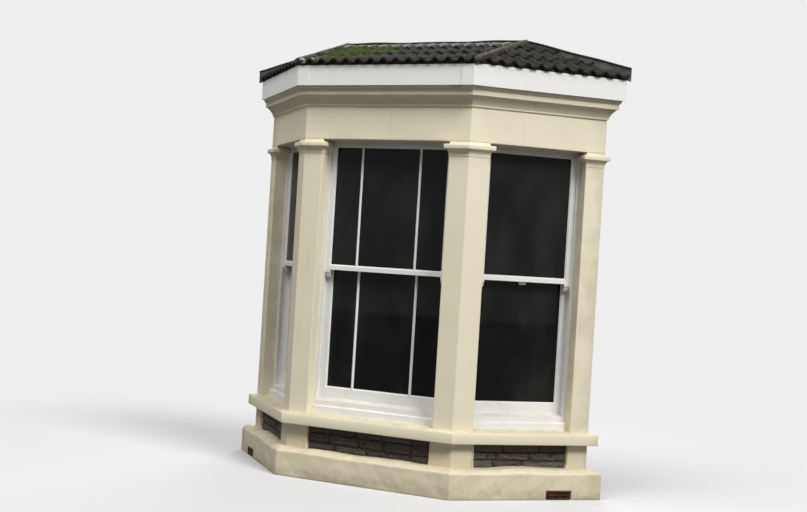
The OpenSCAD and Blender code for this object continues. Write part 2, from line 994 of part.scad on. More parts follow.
// Run-through horn below the meeting rail: a short lip, then a hollow back to the stile.
module horn(x, y0) {
    lip_z = meet_lo - horn_h / 3;
    drop = horn_h * 2 / 3;
    back_in = 30;
    translate([x - stile_w / 2, 0, 0])
        rotate([90, 0, 90])
            linear_extrude(stile_w)
                polygon(concat(
                    [[y0 + sash_d, meet_lo + 1], [y0, meet_lo + 1], [y0, lip_z]],
                    [for (a = [0:15:90]) [y0 + back_in - (back_in - 8) * cos(a), lip_z - drop * sin(a)]],
                    [[y0 + sash_d, meet_lo - horn_h]]
                ));
}

// The meeting rails reach towards each other over the parting bead's thickness.
module upper_sash(w) {
    sw = sash_w(w);
    y0 = track_1 + play / 2;
    color(white)
        union() {
            sash(sw, meet_lo, upper_top_z + top_rail_h, meet_hi, upper_top_z, y0, stile_w);
            for (s = [-1, 1])
                horn(s * (sw - stile_w) / 2, y0);
            translate([-sw / 2 + bead_w, y0 + sash_d - 1, meet_lo])
                cube([sw - 2 * bead_w, meet_reach + 1, meeting_h]);
        }
}

module lower_sash(w) {
    sw = sash_w(w);
    y0 = track_2 + play / 2;
    color(white)
        union() {
            sash(sw, timber_sill_z, meet_hi, lower_bottom_z, meet_lo, y0, stile_w);
            translate([-sw / 2 + bead_w, y0 - meet_reach, meet_lo])
                cube([sw - 2 * bead_w, meet_reach + 1, meeting_h]);
        }
}

module panes(w) {
    gw = sash_w(w) - 2 * stile_w + 2 * rebate;
    at = play / 2 + putty_d;
    color([0.30, 0.34, 0.34, 0.5]) {
        translate([-gw / 2, track_1 + at, meet_hi - rebate])
            cube([gw, glass_t, upper_top_z - meet_hi + 2 * rebate]);
        translate([-gw / 2, track_2 + at, lower_bottom_z - rebate])
            cube([gw, glass_t, meet_lo - lower_bottom_z + 2 * rebate]);
    }
}

module side_window() {
    on_side()
        translate([side_mid, 0, 0])
            children();
}

module frame_front() {
    on_front() box_frame(front_open_w);
}

module frame_right() {
    side_window() box_frame(side_open_w);
}

module frame_left() {
    mirror([1, 0, 0]) frame_right();
}

module upper_sash_front() {
    on_front() upper_sash(front_open_w);
}

module upper_sash_right() {
    side_window() upper_sash(side_open_w);
}

module upper_sash_left() {
    mirror([1, 0, 0]) upper_sash_right();
}

module lower_sash_front() {
    on_front() lower_sash(front_open_w);
}

module lower_sash_right() {
    side_window() lower_sash(side_open_w);
}

module lower_sash_left() {
    mirror([1, 0, 0]) lower_sash_right();
}

module glass_front() {
    on_front() panes(front_open_w);
}

module glass_right() {
    side_window() panes(side_open_w);
}

module glass_left() {
    mirror([1, 0, 0]) glass_right();
}

// Inside of the bay

// Board round the three windows, its nosing inside the room.
module window_board() {
    drop = 45;
    color(white)
        translate([0, 0, timber_sill_z - drop])
            linear_extrude(board_t)
                polygon(concat(deep_outline(inner_o), back(deep_outline(inner_o - board_reach))));
}

// Joists that run out from the house, one in the middle and the rest at their pitch.
module joists() {
    n = floor(wall_x(inner_o) / joist_pitch);
    intersection() {
        polygon(deep_outline(inner_o));
        for (i = [-n:n])
            translate([i * joist_pitch - joist_w / 2, -big / 2])
                square([joist_w, big]);
    }
}

// Floor boards on joists that bear on the plinth.
module bay_floor() {
    boards_z = floor_z - floor_t;
    color([0.55, 0.40, 0.26]) {
        translate([0, 0, boards_z])
            linear_extrude(floor_t)
                polygon(deep_outline(inner_o));
        translate([0, 0, boards_z - joist_h])
            linear_extrude(joist_h + 1)
                joists();
    }
}

// Ceiling board below joists that bear on the inner leaf.
module bay_ceiling() {
    color([0.86, 0.85, 0.82]) {
        translate([0, 0, ceiling_z])
            linear_extrude(ceiling_t)
                polygon(deep_outline(inner_o));
        translate([0, 0, ceiling_z + ceiling_t - 1])
            linear_extrude(joist_h + 1)
                joists();
    }
}

// Node list

// The bay stands with the middle of its bounding box over the origin.
module place() {
    translate([0, (roof_run - return_d) / 2, 0])
        children();
}

place() plinth();
place() air_bricks();
place() pier_bases();
place() stone_front();
place() stone_right();
place() stone_left();
place() sill_front();
place() sill_right();
place() sill_left();
place() shaft_corner_right();
place() shaft_corner_left();
place() shaft_wall_right();
place() shaft_wall_left();
place() capitals();
place() frieze_front();
place() frieze_right();
place() frieze_left();
place() cornice();
place() fascia_front();
place() fascia_right();
place() fascia_left();
place() fascia_covers();
place() roof_front();
place() roof_right();
place() roof_left();
place() hip_tiles();
place() flashing();
place() roof_timbers();
place() inner_leaf();
place() frame_front();
place() frame_right();
place() frame_left();
place() upper_sash_front();
place() upper_sash_right();
place() upper_sash_left();
place() lower_sash_front();
place() lower_sash_right();
place() lower_sash_left();
place() glass_front();
place() glass_right();
place() glass_left();
place() window_board();
place() bay_floor();
place() bay_ceiling();
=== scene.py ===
"""Looks of a canted bay window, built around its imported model.

The model's own pieces keep their places and get their finishes here. Tiles, stones, glazing bars,
lead, moss and the uneven render are made as surfaces on parameter grids. All lengths are in metres,
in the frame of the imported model: +X to the right along the house wall, -Y out of the house, +Z up.
"""

from __future__ import annotations

import json
import logging
import math
import sys
from dataclasses import dataclass, field
from enum import Enum
from typing import Callable
import bmesh
import bpy
import numpy as np
from mathutils import Matrix, Vector


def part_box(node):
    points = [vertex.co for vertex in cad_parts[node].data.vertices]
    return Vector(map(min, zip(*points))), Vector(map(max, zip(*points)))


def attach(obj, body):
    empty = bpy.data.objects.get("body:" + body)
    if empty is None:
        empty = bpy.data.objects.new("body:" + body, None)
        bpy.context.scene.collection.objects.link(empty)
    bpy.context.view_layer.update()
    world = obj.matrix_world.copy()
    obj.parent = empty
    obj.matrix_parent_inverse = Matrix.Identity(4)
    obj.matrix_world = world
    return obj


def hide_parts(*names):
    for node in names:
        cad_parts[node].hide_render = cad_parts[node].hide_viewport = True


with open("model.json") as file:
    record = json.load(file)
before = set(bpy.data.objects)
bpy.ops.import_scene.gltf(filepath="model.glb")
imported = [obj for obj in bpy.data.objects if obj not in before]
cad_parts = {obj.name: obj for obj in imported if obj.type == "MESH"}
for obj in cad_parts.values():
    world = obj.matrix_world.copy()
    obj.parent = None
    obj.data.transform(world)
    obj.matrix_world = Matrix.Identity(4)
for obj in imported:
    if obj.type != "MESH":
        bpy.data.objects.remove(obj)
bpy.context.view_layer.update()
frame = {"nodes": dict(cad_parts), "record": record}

log = logging.getLogger("bay_window")
Array = np.ndarray
Pair = tuple[np.ndarray, np.ndarray]
Span = tuple[float, float]
Triple = tuple[float, float, float]
Socket = bpy.types.NodeSocket
Material = bpy.types.Material
Piece = bpy.types.Object
ROOT = "root"
WALL_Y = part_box("flashing")[1].y
EAVES_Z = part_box("roof_front")[0].z
FASCIA_TOP_Z = 3.290
STONE_ARRIS = 0.0025


class Side(Enum):
    """The three faces of the bay."""

    FRONT = "front"
    RIGHT = "right"
    LEFT = "left"


class Tone(Enum):
    """Base colours, as linear red, green and blue."""

    CREAM = (0.800, 0.738, 0.550)
    CREAM_SHADE = (0.660, 0.592, 0.425)
    CREAM_WARM = (0.660, 0.560, 0.375)
    # Dirt, also laid on as painted shade on the cornice, on ledges and under the window heads.
    GRIME_AND_SHADE = (0.265, 0.218, 0.142)
    # Darker tone laid on towards the house wall.
    NEAR_WALL_DARK = (0.400, 0.345, 0.225)
    BARE_STONE = (0.300, 0.245, 0.180)
    GLOSS_WHITE = (0.800, 0.795, 0.765)
    GLOSS_SHADE = (0.640, 0.630, 0.580)
    BOARD_WHITE = (0.790, 0.785, 0.760)
    TILE_DARK = (0.009, 0.008, 0.007)
    TILE_GREY = (0.030, 0.027, 0.022)
    TILE_PALE = (0.105, 0.094, 0.074)
    MOSS_DARK = (0.020, 0.028, 0.009)
    MOSS_LIGHT = (0.052, 0.069, 0.016)
    MOSS_PALE = (0.095, 0.112, 0.027)
    LICHEN = (0.600, 0.585, 0.490)
    MORTAR = (0.230, 0.205, 0.160)
    MORTAR_PALE = (0.520, 0.495, 0.430)
    MORTAR_MID = (0.082, 0.073, 0.056)
    MORTAR_DARK = (0.050, 0.043, 0.035)
    STONE_BROWN = (0.046, 0.037, 0.028)
    STONE_GREY = (0.088, 0.078, 0.061)
    STONE_RED = (0.066, 0.043, 0.033)
    CLAY = (0.115, 0.044, 0.026)
    CLAY_DARK = (0.050, 0.021, 0.014)
    LEAD = (0.062, 0.060, 0.055)
    LEAD_PALE = (0.125, 0.122, 0.112)
    # Painted near-black standing in for the dark room behind the glass.
    GLASS_PAINTED_DARK = (0.007, 0.008, 0.008)
    GLASS_DUST = (0.020, 0.020, 0.018)
    TIMBER = (0.420, 0.255, 0.120)
    TIMBER_DARK = (0.210, 0.110, 0.045)
    PLASTER = (0.720, 0.705, 0.660)
    PLASTER_SHADE = (0.640, 0.620, 0.560)


@dataclass(frozen=True)
class Plan:
    """Driving sizes of the bay, repeated from its construction."""

    front_w: float = 1.450
    depth: float = 0.810
    cant: float = math.radians(45.0)
    pilaster_w: float = 0.170
    wall_pilaster_w: float = 0.156
    base_extra: float = 0.008
    panel_setback: float = 0.018
    inner_in: float = 0.240
    fascia_out: float = 0.100
    eaves_out: float = 0.125
    roof_top_half: float = 0.820
    roof_top_z: float = FASCIA_TOP_Z + 0.280

    @property
    def side_l(self) -> float:
        """Length of a side face between the corner and the house wall."""
        return self.depth / math.sin(self.cant)

    def corner_x(self, out: float | Array) -> float | Array:
        """Distance of the front corner from the middle, at a plan offset."""
        return self.front_w / 2 + out * math.tan(self.cant / 2)

    def wall_x(self, out: float | Array) -> float | Array:
        """Distance of a face's wall end from the middle, at a plan offset."""
        return self.corner_x(out) + (self.depth + out) / math.tan(self.cant)

    def panel_half(self, side: Side) -> float:
        """Half the width of the stone panel between the pier bases of one face."""
        if side is Side.FRONT:
            return self.front_w / 2 - self.pilaster_w - self.base_extra
        return (self.side_l - self.pilaster_w - self.wall_pilaster_w) / 2 - self.base_extra

    def face(self, side: Side) -> Matrix:
        """Matrix of a face: x along it from the opening's middle, y into the wall, z up."""
        if side is Side.FRONT:
            return Matrix.Translation((0.0, WALL_Y - self.depth, 0.0))
        middle = (self.pilaster_w + self.side_l - self.wall_pilaster_w) / 2
        place = Vector((self.front_w / 2, WALL_Y - self.depth, 0.0))
        place += middle * Vector((math.cos(self.cant), math.sin(self.cant), 0.0))
        flip = 1.0 if side is Side.RIGHT else -1.0
        place.x *= flip
        return Matrix.Translation(place) @ Matrix.Rotation(flip * self.cant, 4, "Z")

    def on_face(self, side: Side, solid: Pair) -> Pair:
        """Moves a solid from the coordinates of a face to the row frame."""
        m = np.array(self.face(side))
        return solid[0] @ m[:3, :3].T + m[:3, 3], solid[1]


PLAN = Plan()


def xyz(x: Array | float, y: Array | float, z: Array | float) -> Array:
    """Points from three coordinates, each an array or one number."""
    return np.stack(np.broadcast_arrays(x, y, z), -1).astype(float)


def waves(points: Array, wave: Span, seed: int, count: int = 16) -> Array:
    """Smooth random field: the mean of sine waves in random directions.

    value(p) = size * sqrt(2 / count) / 1.4 * sum of sin(2 pi * p . d_i / length_i + phase_i)

    Args:
        points: array (..., 3) of places.
        wave: the size and the mean wavelength.
        seed: seed of the directions and phases.
        count: number of waves.

    Returns:
        Array (...) with values that are mostly between -size and size.
    """
    rng = np.random.default_rng(seed)
    direction = rng.normal(size=(count, 3))
    direction /= np.linalg.norm(direction, axis=1, keepdims=True)
    lengths = wave[1] * rng.uniform(0.5, 2.0, count)
    phase = rng.uniform(0.0, 2.0 * np.pi, count)
    angle = 2.0 * np.pi * (points @ direction.T) / lengths + phase
    return wave[0] * (np.sin(angle).sum(axis=-1) * math.sqrt(2.0 / count) / 1.4)


def closed_shell(top: Array, bottom: Array) -> Pair:
    """Closed solid between two grids with the same number of rows and columns.

    Args:
        top: array (n, m, 3) of the outer surface.
        bottom: array (n, m, 3) of the inner surface.

    Returns:
        Vertices (2nm, 3) and quads (k, 4).
    """
    n, m = top.shape[:2]
    ids = np.arange(n * m).reshape(n, m)
    quads = np.stack([ids[:-1, :-1], ids[1:, :-1], ids[1:, 1:], ids[:-1, 1:]], -1).reshape(-1, 4)
    rim = np.concatenate([ids[0, :], ids[1:, -1], ids[-1, -2::-1], ids[-2:0:-1, 0]])
    after = np.roll(rim, -1)
    sides = np.stack([rim, after, after + n * m, rim + n * m], -1)
    verts = np.concatenate([top.reshape(-1, 3), bottom.reshape(-1, 3)])
    return verts, np.concatenate([quads, quads[:, ::-1] + n * m, sides])


def linked(name: str, data: bpy.types.ID) -> Piece:
    """New object in the scene, with the given mesh, camera or lamp."""
    piece = bpy.data.objects.new(name, data)
    bpy.context.scene.collection.objects.link(piece)
    return piece


def opened(mesh: bpy.types.Mesh, merge: float) -> bmesh.types.BMesh:
    """Editable form of a mesh, with points closer than a distance merged."""
    form = bmesh.new()
    form.from_mesh(mesh)
    bmesh.ops.remove_doubles(form, verts=form.verts, dist=merge)
    return form


def finished(form: bmesh.types.BMesh, mesh: bpy.types.Mesh, sharp_deg: float) -> Piece:
    """Writes a form to a mesh and links it as an object.

    Args:
        form: the edited form, which is freed.
        mesh: the mesh to fill, named like the piece.
        sharp_deg: edges sharper than this stay sharp.

    Returns:
        The new object, still without a finish.
    """
    form.to_mesh(mesh)
    form.free()
    mesh.polygons.foreach_set("use_smooth", np.ones(len(mesh.polygons), bool))
    mesh.set_sharp_from_angle(angle=math.radians(sharp_deg))
    return linked(mesh.name, mesh)


def hand_over(piece: Piece, material: Material, slot: str, *stands_for: str) -> None:
    """Gives a piece its finish and its body, and hides the nodes that it stands for.

    Args:
        piece: the new object.
        material: its finish.
        slot: not used.
        stands_for: names of the nodes that it replaces.
    """
    piece.data.materials.clear()
    piece.data.materials.append(material)
    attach(piece, ROOT)
    if stands_for:
        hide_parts(*stands_for)
    log.info("%-22s %7d faces  %s", piece.name, len(piece.data.polygons), ", ".join(stands_for))


@dataclass
class Batch:
    """Collects solids into one mesh, with a tone for each solid and a painted shade mark for each point."""

    rows: list[tuple[Array, Array, Array, Array]] = field(default_factory=list)
    count: int = 0

    def add(self, solid: Pair, tone: float = 0.5, edge: Array | float = 0.0) -> "Batch":
        """Adds one solid.

        Args:
            solid: its points and faces.
            tone: number from 0 to 1 that its finish turns into a shade.
            edge: painted shade from 0 to 1, for all points or for each.

        Returns:
            This batch.
        """
        verts, quads = solid
        self.rows.append((verts, quads + self.count, np.full(len(verts), tone), np.zeros(len(verts)) + edge))
        self.count += len(verts)
        return self

    def build(self, name: str, sharp_deg: float, material: Material, slot: str, *stands_for: str) -> None:
        """Makes the piece with its faces outwards and hands it over.

        Args:
            name: name of the piece.
            sharp_deg: edges sharper than this stay sharp.
            material: its finish.
            slot: its material slot in the record.
            stands_for: names of the nodes that it replaces.
        """
        verts, quads, tones, edges = (np.concatenate(rows) for rows in zip(*self.rows))
        mesh = bpy.data.meshes.new(name)
        mesh.from_pydata(verts.tolist(), [], quads.tolist())
        # The edge attribute carries painted shade for the tile and moss finishes.
        for key, values in (("tone", tones), ("edge", edges)):
            mesh.attributes.new(key, "FLOAT", "POINT").data.foreach_set("value", values.astype(np.float32))
        form = opened(mesh, 1e-6)
        bmesh.ops.dissolve_degenerate(form, edges=form.edges, dist=1e-7)
        bmesh.ops.recalc_face_normals(form, faces=form.faces)
        hand_over(finished(form, mesh, sharp_deg), material, slot, *stands_for)


class Nodes:
    """A node tree to which nodes are added with their settings and inputs."""

    def __init__(self, tree: bpy.types.NodeTree) -> None:
        """Takes the tree."""
        self.tree = tree

    def put(self, node: bpy.types.Node, inputs: dict) -> None:
        """Links sockets to a node's inputs, sets numbers and tones on them, and skips None."""
        for key, value in inputs.items():
            if isinstance(value, Socket):
                self.tree.links.new(value, node.inputs[key])
            elif value is not None:
                node.inputs[key].default_value = (*value.value, 1.0) if isinstance(value, Tone) else value

    def node(self, kind: str, inputs: dict | None = None, **settings: str | bool) -> bpy.types.NodeOutputs:
        """Adds a node.

        Args:
            kind: its type, without the common first word.
            inputs: sockets, numbers or tones for its inputs.
            settings: its own properties, such as an operation.

        Returns:
            The node's outputs.
        """
        node = self.tree.nodes.new("ShaderNode" + kind)
        for key, value in settings.items():
            setattr(node, key, value)
        self.put(node, inputs or {})
        return node.outputs


class Sheet(Nodes):
    """A material's node tree, with one short method for each kind of node that the finishes use."""

    def __init__(self, name: str) -> None:
        """Makes an empty material with a shader and object coordinates."""
        self.material = bpy.data.materials.new(name)
        self.material.use_nodes = True
        super().__init__(self.material.node_tree)
        self.shader = self.tree.nodes["Principled BSDF"]
        self.place = self.node("TexCoord")["Object"]

    def noise(self, scale: float, detail: float = 3.0, stretch: Triple = (1.0, 1.0, 1.0),
              rough: float = 0.55) -> Socket:
        """Noise from 0 to 1 in object coordinates, finer for larger scales."""
        place = self.node("Mapping", {"Vector": self.place, "Scale": stretch})["Vector"]
        inputs = {"Vector": place, "Scale": scale, "Detail": detail, "Roughness": rough}
        return self.node("TexNoise", inputs)["Fac"]

    def cells(self, scale: float) -> Socket:
        """Distance to the nearest of many random points, for pits and crystals."""
        return self.node("TexVoronoi", {"Vector": self.place, "Scale": scale})["Distance"]

    def axis(self, name: str) -> Socket:
        """One object coordinate."""
        return self.node("SeparateXYZ", {0: self.place})[name]

    def upward(self) -> Socket:
        """How far the surface faces up: 1 on a level top, 0 on a wall."""
        return self.node("SeparateXYZ", {0: self.node("NewGeometry")["Normal"]})["Z"]

    def attribute(self, name: str) -> Socket:
        """A number stored on the mesh's points."""
        return self.node("Attribute", attribute_name=name)["Fac"]

    def span(self, value: Socket, low: float, high: float, start: float = 0.0, end: float = 1.0) -> Socket:
        """Maps low..high smoothly to start..end."""
        inputs = {"Value": value, "From Min": low, "From Max": high, "To Min": start, "To Max": end}
        return self.node("MapRange", inputs, interpolation_type="SMOOTHSTEP")["Result"]

    def plus(self, first: Socket, second: Socket | float) -> Socket:
        """Sum of two values."""
        return self.node("Math", {0: first, 1: second}, operation="ADD")[0]

    def times(self, first: Socket, *factors: Socket | float) -> Socket:
        """Product of values, held between 0 and 1."""
        for factor in factors:
            first = self.node("Math", {0: first, 1: factor}, operation="MULTIPLY", use_clamp=True)[0]
        return first

    def most(self, first: Socket, *others: Socket) -> Socket:
        """Largest of several values, held between 0 and 1."""
        for other in others:
            first = self.node("Math", {0: first, 1: other}, operation="MAXIMUM", use_clamp=True)[0]
        return first

    def mix(self, share: Socket, first: Socket | Tone, second: Socket | Tone) -> Socket:
        """Colour between two colours."""
        return self.node("Mix", {"Factor": share, 6: first, 7: second}, data_type="RGBA")[2]

    def coat(self, colour: Socket | Tone, tone: Tone, noise: Socket, band: Span,
             share: float = 1.0) -> Socket:
        """Lays a tone over a colour, from nothing below a band of the noise to a share above it."""
        return self.mix(self.span(noise, *band, 0.0, share), colour, tone)

    def ledge_dust_and_shade(self, level: Span, scale: float, share: Span) -> Socket:
        """Dust and painted shade on what faces up, in clouds between two shares."""
        clouds = self.span(self.noise(scale, 6.0), 0.30, 0.75, *share)
        return self.times(self.span(self.upward(), *level), clouds)

    def relief(self, *layers: tuple[Socket, float, float]) -> Socket:
        """Surface normal from heights, each with its strength and depth, laid over one another."""
        normal = None
        for height, strength, depth in layers:
            inputs = {"Height": height, "Strength": strength, "Distance": depth, "Normal": normal}
            normal = self.node("Bump", inputs)["Normal"]
        return normal

    def wear(self, colour: Socket | Tone, rough: Socket | float, normal: Socket | None = None,
             specular: float = 0.5, metallic: float = 0.0) -> Material:
        """Puts the finish's values on the shader and returns the material."""
        self.put(self.shader, {"Base Color": colour, "Roughness": rough, "Normal": normal,
                               "Specular IOR Level": specular, "Metallic": metallic})
        return self.material


@dataclass(frozen=True)
class PaintedRender:
    """Cream masonry paint over render and stone: dirty at its foot, with dust and painted shade on its
    ledges, darker towards the house wall, and painted shade with soot on the cornice.
    """

    name: str = "cream_masonry_paint"
    splash_z: float = 0.11
    splash: float = 0.34
    wall_dark_reach: float = 0.12
    wall_dark: float = 0.38
    warm_z: Span = (0.15, 0.50)
    warm: float = 0.45
    under_fascia_shade_z: Span = (2.975, 2.990)
    under_fascia_shade: float = 0.20
    cut: Span = (0.0012, 0.0006)

    def dirt_and_ledge_shade(self, s: Sheet) -> Socket:
        """Share of dirt and painted shade: splashes at the foot, dust and painted shade on ledges, and drips
        below them.

        Args:
            s: the material's sheet.

        Returns:
            Socket with the share, from 0 to 1.
        """
        low = s.plus(s.axis("Z"), s.span(s.noise(19.0, 6.0, rough=0.65), 0.2, 0.8, -0.05, 0.05))
        foot = s.span(low, -0.01, self.splash_z, self.splash, 0.0)
        runs = s.span(s.noise(17.0, 5.0, (1.0, 1.0, 0.06)), 0.56, 0.76)
        drips = s.times(runs, s.span(s.noise(2.3, 2.0), 0.42, 0.66, 0.0, 0.24))
        return s.most(foot, s.ledge_dust_and_shade((0.35, 0.85), 15.0, (0.38, 0.60)), drips)

    def build(self) -> Material:
        """Makes the material."""
        s = Sheet(self.name)
        fine = s.noise(42.0, 6.0)
        colour = s.coat(Tone.CREAM, Tone.CREAM_SHADE, s.noise(1.7, 4.0), (0.3, 0.75), 0.30)
        colour = s.coat(colour, Tone.GRIME_AND_SHADE, fine, (0.60, 0.80), 0.16)
        colour = s.mix(s.span(s.axis("Z"), *self.warm_z, self.warm, 0.0), colour, Tone.CREAM_WARM)
        # Dirt at the foot and in drips, with dust and painted shade on the ledges.
        colour = s.mix(self.dirt_and_ledge_shade(s), colour, Tone.GRIME_AND_SHADE)
        # Painted shade with some soot on the cornice, under the fascia: darker from the frieze's top upwards.
        colour = s.coat(colour, Tone.GRIME_AND_SHADE, s.axis("Z"), self.under_fascia_shade_z, self.under_fascia_shade)
        # Darker towards the house wall, in clouds.
        wall = s.plus(s.axis("Y"), s.span(s.noise(5.0, 5.0), 0.25, 0.75, -0.06, 0.06))
        colour = s.coat(colour, Tone.NEAR_WALL_DARK, wall, (WALL_Y - self.wall_dark_reach, WALL_Y + 0.03), self.wall_dark)
        core = s.coat(Tone.BARE_STONE, Tone.MORTAR, s.noise(22.0), (0.35, 0.65))
        colour = s.mix(s.span(s.axis("Y"), WALL_Y - self.cut[0], WALL_Y - self.cut[1]), colour, core)
        grain = s.noise(170.0, 4.0, rough=0.7)
        normal = s.relief((s.noise(6.0, 3.0), 0.35, 0.006), (grain, 0.35, 0.0012))
        return s.wear(colour, s.span(fine, 0.3, 0.8, 0.58, 0.82), normal)


@dataclass(frozen=True)
class GlossPaint:
    """White gloss paint on timber, faintly soiled, with dust and painted shade on its ledges, painted shade
    under the window heads, and soft brush marks.
    """

    name: str = "white_window_gloss"
    rough: Span = (0.28, 0.43)
    head_shade_z: Span = (2.635, 2.690)
    head_painted_shade: float = 0.55

    def build(self) -> Material:
        """Makes the material."""
        s = Sheet(self.name)
        soil = s.noise(5.0, 4.0)
        colour = s.coat(Tone.GLOSS_WHITE, Tone.GLOSS_SHADE, soil, (0.45, 0.75), 0.45)
        colour = s.coat(colour, Tone.GRIME_AND_SHADE, s.noise(80.0, 4.0), (0.66, 0.78), 0.22)
        # Dust and painted shade on what faces up.
        colour = s.mix(s.ledge_dust_and_shade((0.6, 0.95), 9.0, (0.34, 0.56)), colour, Tone.GRIME_AND_SHADE)
        # Painted shade under the window heads.
        colour = s.coat(colour, Tone.GRIME_AND_SHADE, s.axis("Z"), self.head_shade_z, self.head_painted_shade)
        marks = s.noise(45.0, 3.0, (1.0, 1.0, 0.10))
        return s.wear(colour, s.span(soil, 0.4, 0.8, *self.rough), s.relief((marks, 0.10, 0.0006)))


@dataclass(frozen=True)
class FasciaBoard:
    """White plastic-faced fascia board with run marks below the eaves."""

    name: str = "white_fascia_board"
    rough: Span = (0.34, 0.50)
    run_h: float = 0.05
    runs: Span = (0.05, 0.36)

    def build(self) -> Material:
        """Makes the material."""
        s = Sheet(self.name)
        runs = s.noise(26.0, 5.0, (1.0, 1.0, 0.10))
        top = s.span(s.axis("Z"), FASCIA_TOP_Z - self.run_h, FASCIA_TOP_Z, *self.runs)
        colour = s.mix(s.times(s.span(runs, 0.45, 0.75), top), Tone.BOARD_WHITE, Tone.GRIME_AND_SHADE)
        colour = s.coat(colour, Tone.GRIME_AND_SHADE, s.noise(90.0, 3.0), (0.66, 0.78), 0.30)
        return s.wear(colour, s.span(runs, 0.3, 0.7, *self.rough), s.relief((s.noise(4.0), 0.10, 0.003)))


@dataclass(frozen=True)
class WeatheredTile:
    """Dark weathered clay with pale edges, moss on part of the front slope, a lichened corner, and painted
    shade in the pans and at the lower edges.
    """

    name: str = "weathered_roof_tile"
    rough: Span = (0.80, 0.98)
    specular: float = 0.12
    moss_x: Span = (-0.78, -0.14)
    moss_z: float = EAVES_Z + 0.100
    lichen_x: tuple[Span, Span] = ((-1.0, -0.85), (-0.70, -0.56))
    lichen_z: Span = (EAVES_Z + 0.055, EAVES_Z + 0.10)
    lichen: float = 0.70

    def moss(self, s: Sheet) -> Socket:
        """Share of moss: a broken patch on the left of the front slope, and thin stray growth.

        Args:
            s: the material's sheet.

        Returns:
            Socket with the share, from 0 to 1.
        """
        wobble = s.span(s.noise(5.0, 5.0), 0.25, 0.75, -0.17, 0.17)
        across = s.plus(s.axis("X"), wobble)
        left = s.span(across, self.moss_x[0] - 0.05, self.moss_x[0] + 0.05)
        right = s.span(across, self.moss_x[1] - 0.12, self.moss_x[1] + 0.06, 1.0, 0.0)
        above = s.plus(s.axis("Z"), s.times(wobble, 0.5))
        high = s.span(above, self.moss_z - 0.05, self.moss_z + 0.03)
        patch = s.times(s.span(s.noise(16.0, 6.0), 0.34, 0.50), left, right, high)
        return s.most(patch, s.span(s.noise(9.0, 5.0), 0.60, 0.72, 0.0, 0.40))

    def build(self) -> Material:
        """Makes the material."""
        s = Sheet(self.name)
        patches, specks = s.noise(14.0, 6.0), s.noise(70.0, 5.0)
        colour = s.coat(Tone.TILE_DARK, Tone.TILE_GREY, patches, (0.30, 0.72))
        colour = s.coat(colour, Tone.TILE_GREY, s.attribute("tone"), (0.0, 1.0), 0.40)
        colour = s.coat(colour, Tone.TILE_PALE, specks, (0.57, 0.74), 0.55)
        green = s.coat(Tone.MOSS_DARK, Tone.MOSS_LIGHT, s.noise(55.0, 4.0), (0.35, 0.7))
        colour = s.mix(self.moss(s), colour, green)
        corner = s.times(s.span(s.axis("X"), *self.lichen_x[1], self.lichen, 0.0),
                         s.span(s.axis("Z"), *self.lichen_z, 1.0, 0.0),
                         s.span(s.axis("X"), *self.lichen_x[0]), s.span(s.noise(19.0, 3.0), 0.55, 0.61))
        colour = s.mix(corner, colour, Tone.LICHEN)
        colour = s.coat(colour, Tone.LICHEN, s.noise(34.0, 2.0), (0.71, 0.76), 0.20)
        # Painted shade from the edge attribute: pans, lower edges and undersides.
        colour = s.coat(colour, Tone.TILE_DARK, s.attribute("edge"), (0.2, 1.0), 0.75)
        normal = s.relief((patches, 0.35, 0.004), (s.noise(130.0, 5.0, rough=0.7), 0.55, 0.0018))
        return s.wear(colour, s.span(specks, 0.3, 0.8, *self.rough), normal, self.specular)


@dataclass(frozen=True)
class RubbleStone:
    """Dark quarried stone with layers, each stone in its own tone between brown, grey and red."""

    name: str = "coursed_stone"
    rough: Span = (0.70, 0.92)

    def build(self) -> Material:
        """Makes the material."""
        s = Sheet(self.name)
        tone = s.attribute("tone")
        layers = s.noise(18.0, 6.0, (1.0, 1.0, 4.0))
        colour = s.coat(Tone.STONE_BROWN, Tone.STONE_GREY, tone, (0.1, 0.7))
        colour = s.coat(colour, Tone.STONE_RED, tone, (0.82, 0.95), 0.35)
        colour = s.coat(colour, Tone.STONE_BROWN, layers, (0.45, 0.75), 0.7)
        colour = s.coat(colour, Tone.MORTAR, s.noise(60.0, 5.0), (0.60, 0.78), 0.4)
        normal = s.relief((layers, 0.8, 0.006), (s.noise(120.0, 4.0, rough=0.7), 0.5, 0.0016))
        return s.wear(colour, s.span(layers, 0.3, 0.8, *self.rough), normal)


@dataclass(frozen=True)
class Grainy:
    """A mineral finish between two tones, such as mortar, fired clay, lead or plaster."""

    name: str
    first: Tone
    second: Tone
    scale: float = 30.0
    rough: Span = (0.75, 0.95)
    relief: float = 0.5
    metallic: float = 0.0
    specular: float = 0.20

    def build(self) -> Material:
        """Makes the material."""
        s = Sheet(self.name)
        cloud = s.noise(self.scale, 6.0)
        colour = s.coat(self.first, self.second, cloud, (0.35, 0.68))
        fine = s.noise(self.scale * 6.0, 4.0, rough=0.7)
        normal = s.relief((cloud, self.relief, 0.003), (fine, self.relief, 0.0012))
        return s.wear(colour, s.span(cloud, 0.3, 0.7, *self.rough), normal, self.specular, self.metallic)


@dataclass(frozen=True)
class Boards:
    """Planed or sawn softwood, with grain drawn along one axis."""

    name: str
    along: Triple = (0.05, 1.0, 1.0)
    rough: Span = (0.45, 0.65)

    def build(self) -> Material:
        """Makes the material."""
        s = Sheet(self.name)
        grain = s.noise(55.0, 5.0, self.along)
        colour = s.coat(Tone.TIMBER, Tone.TIMBER_DARK, grain, (0.35, 0.68))
        colour = s.coat(colour, Tone.TIMBER_DARK, s.noise(3.0, 3.0), (0.4, 0.7), 0.35)
        return s.wear(colour, s.span(grain, 0.3, 0.7, *self.rough), s.relief((grain, 0.30, 0.0012)))


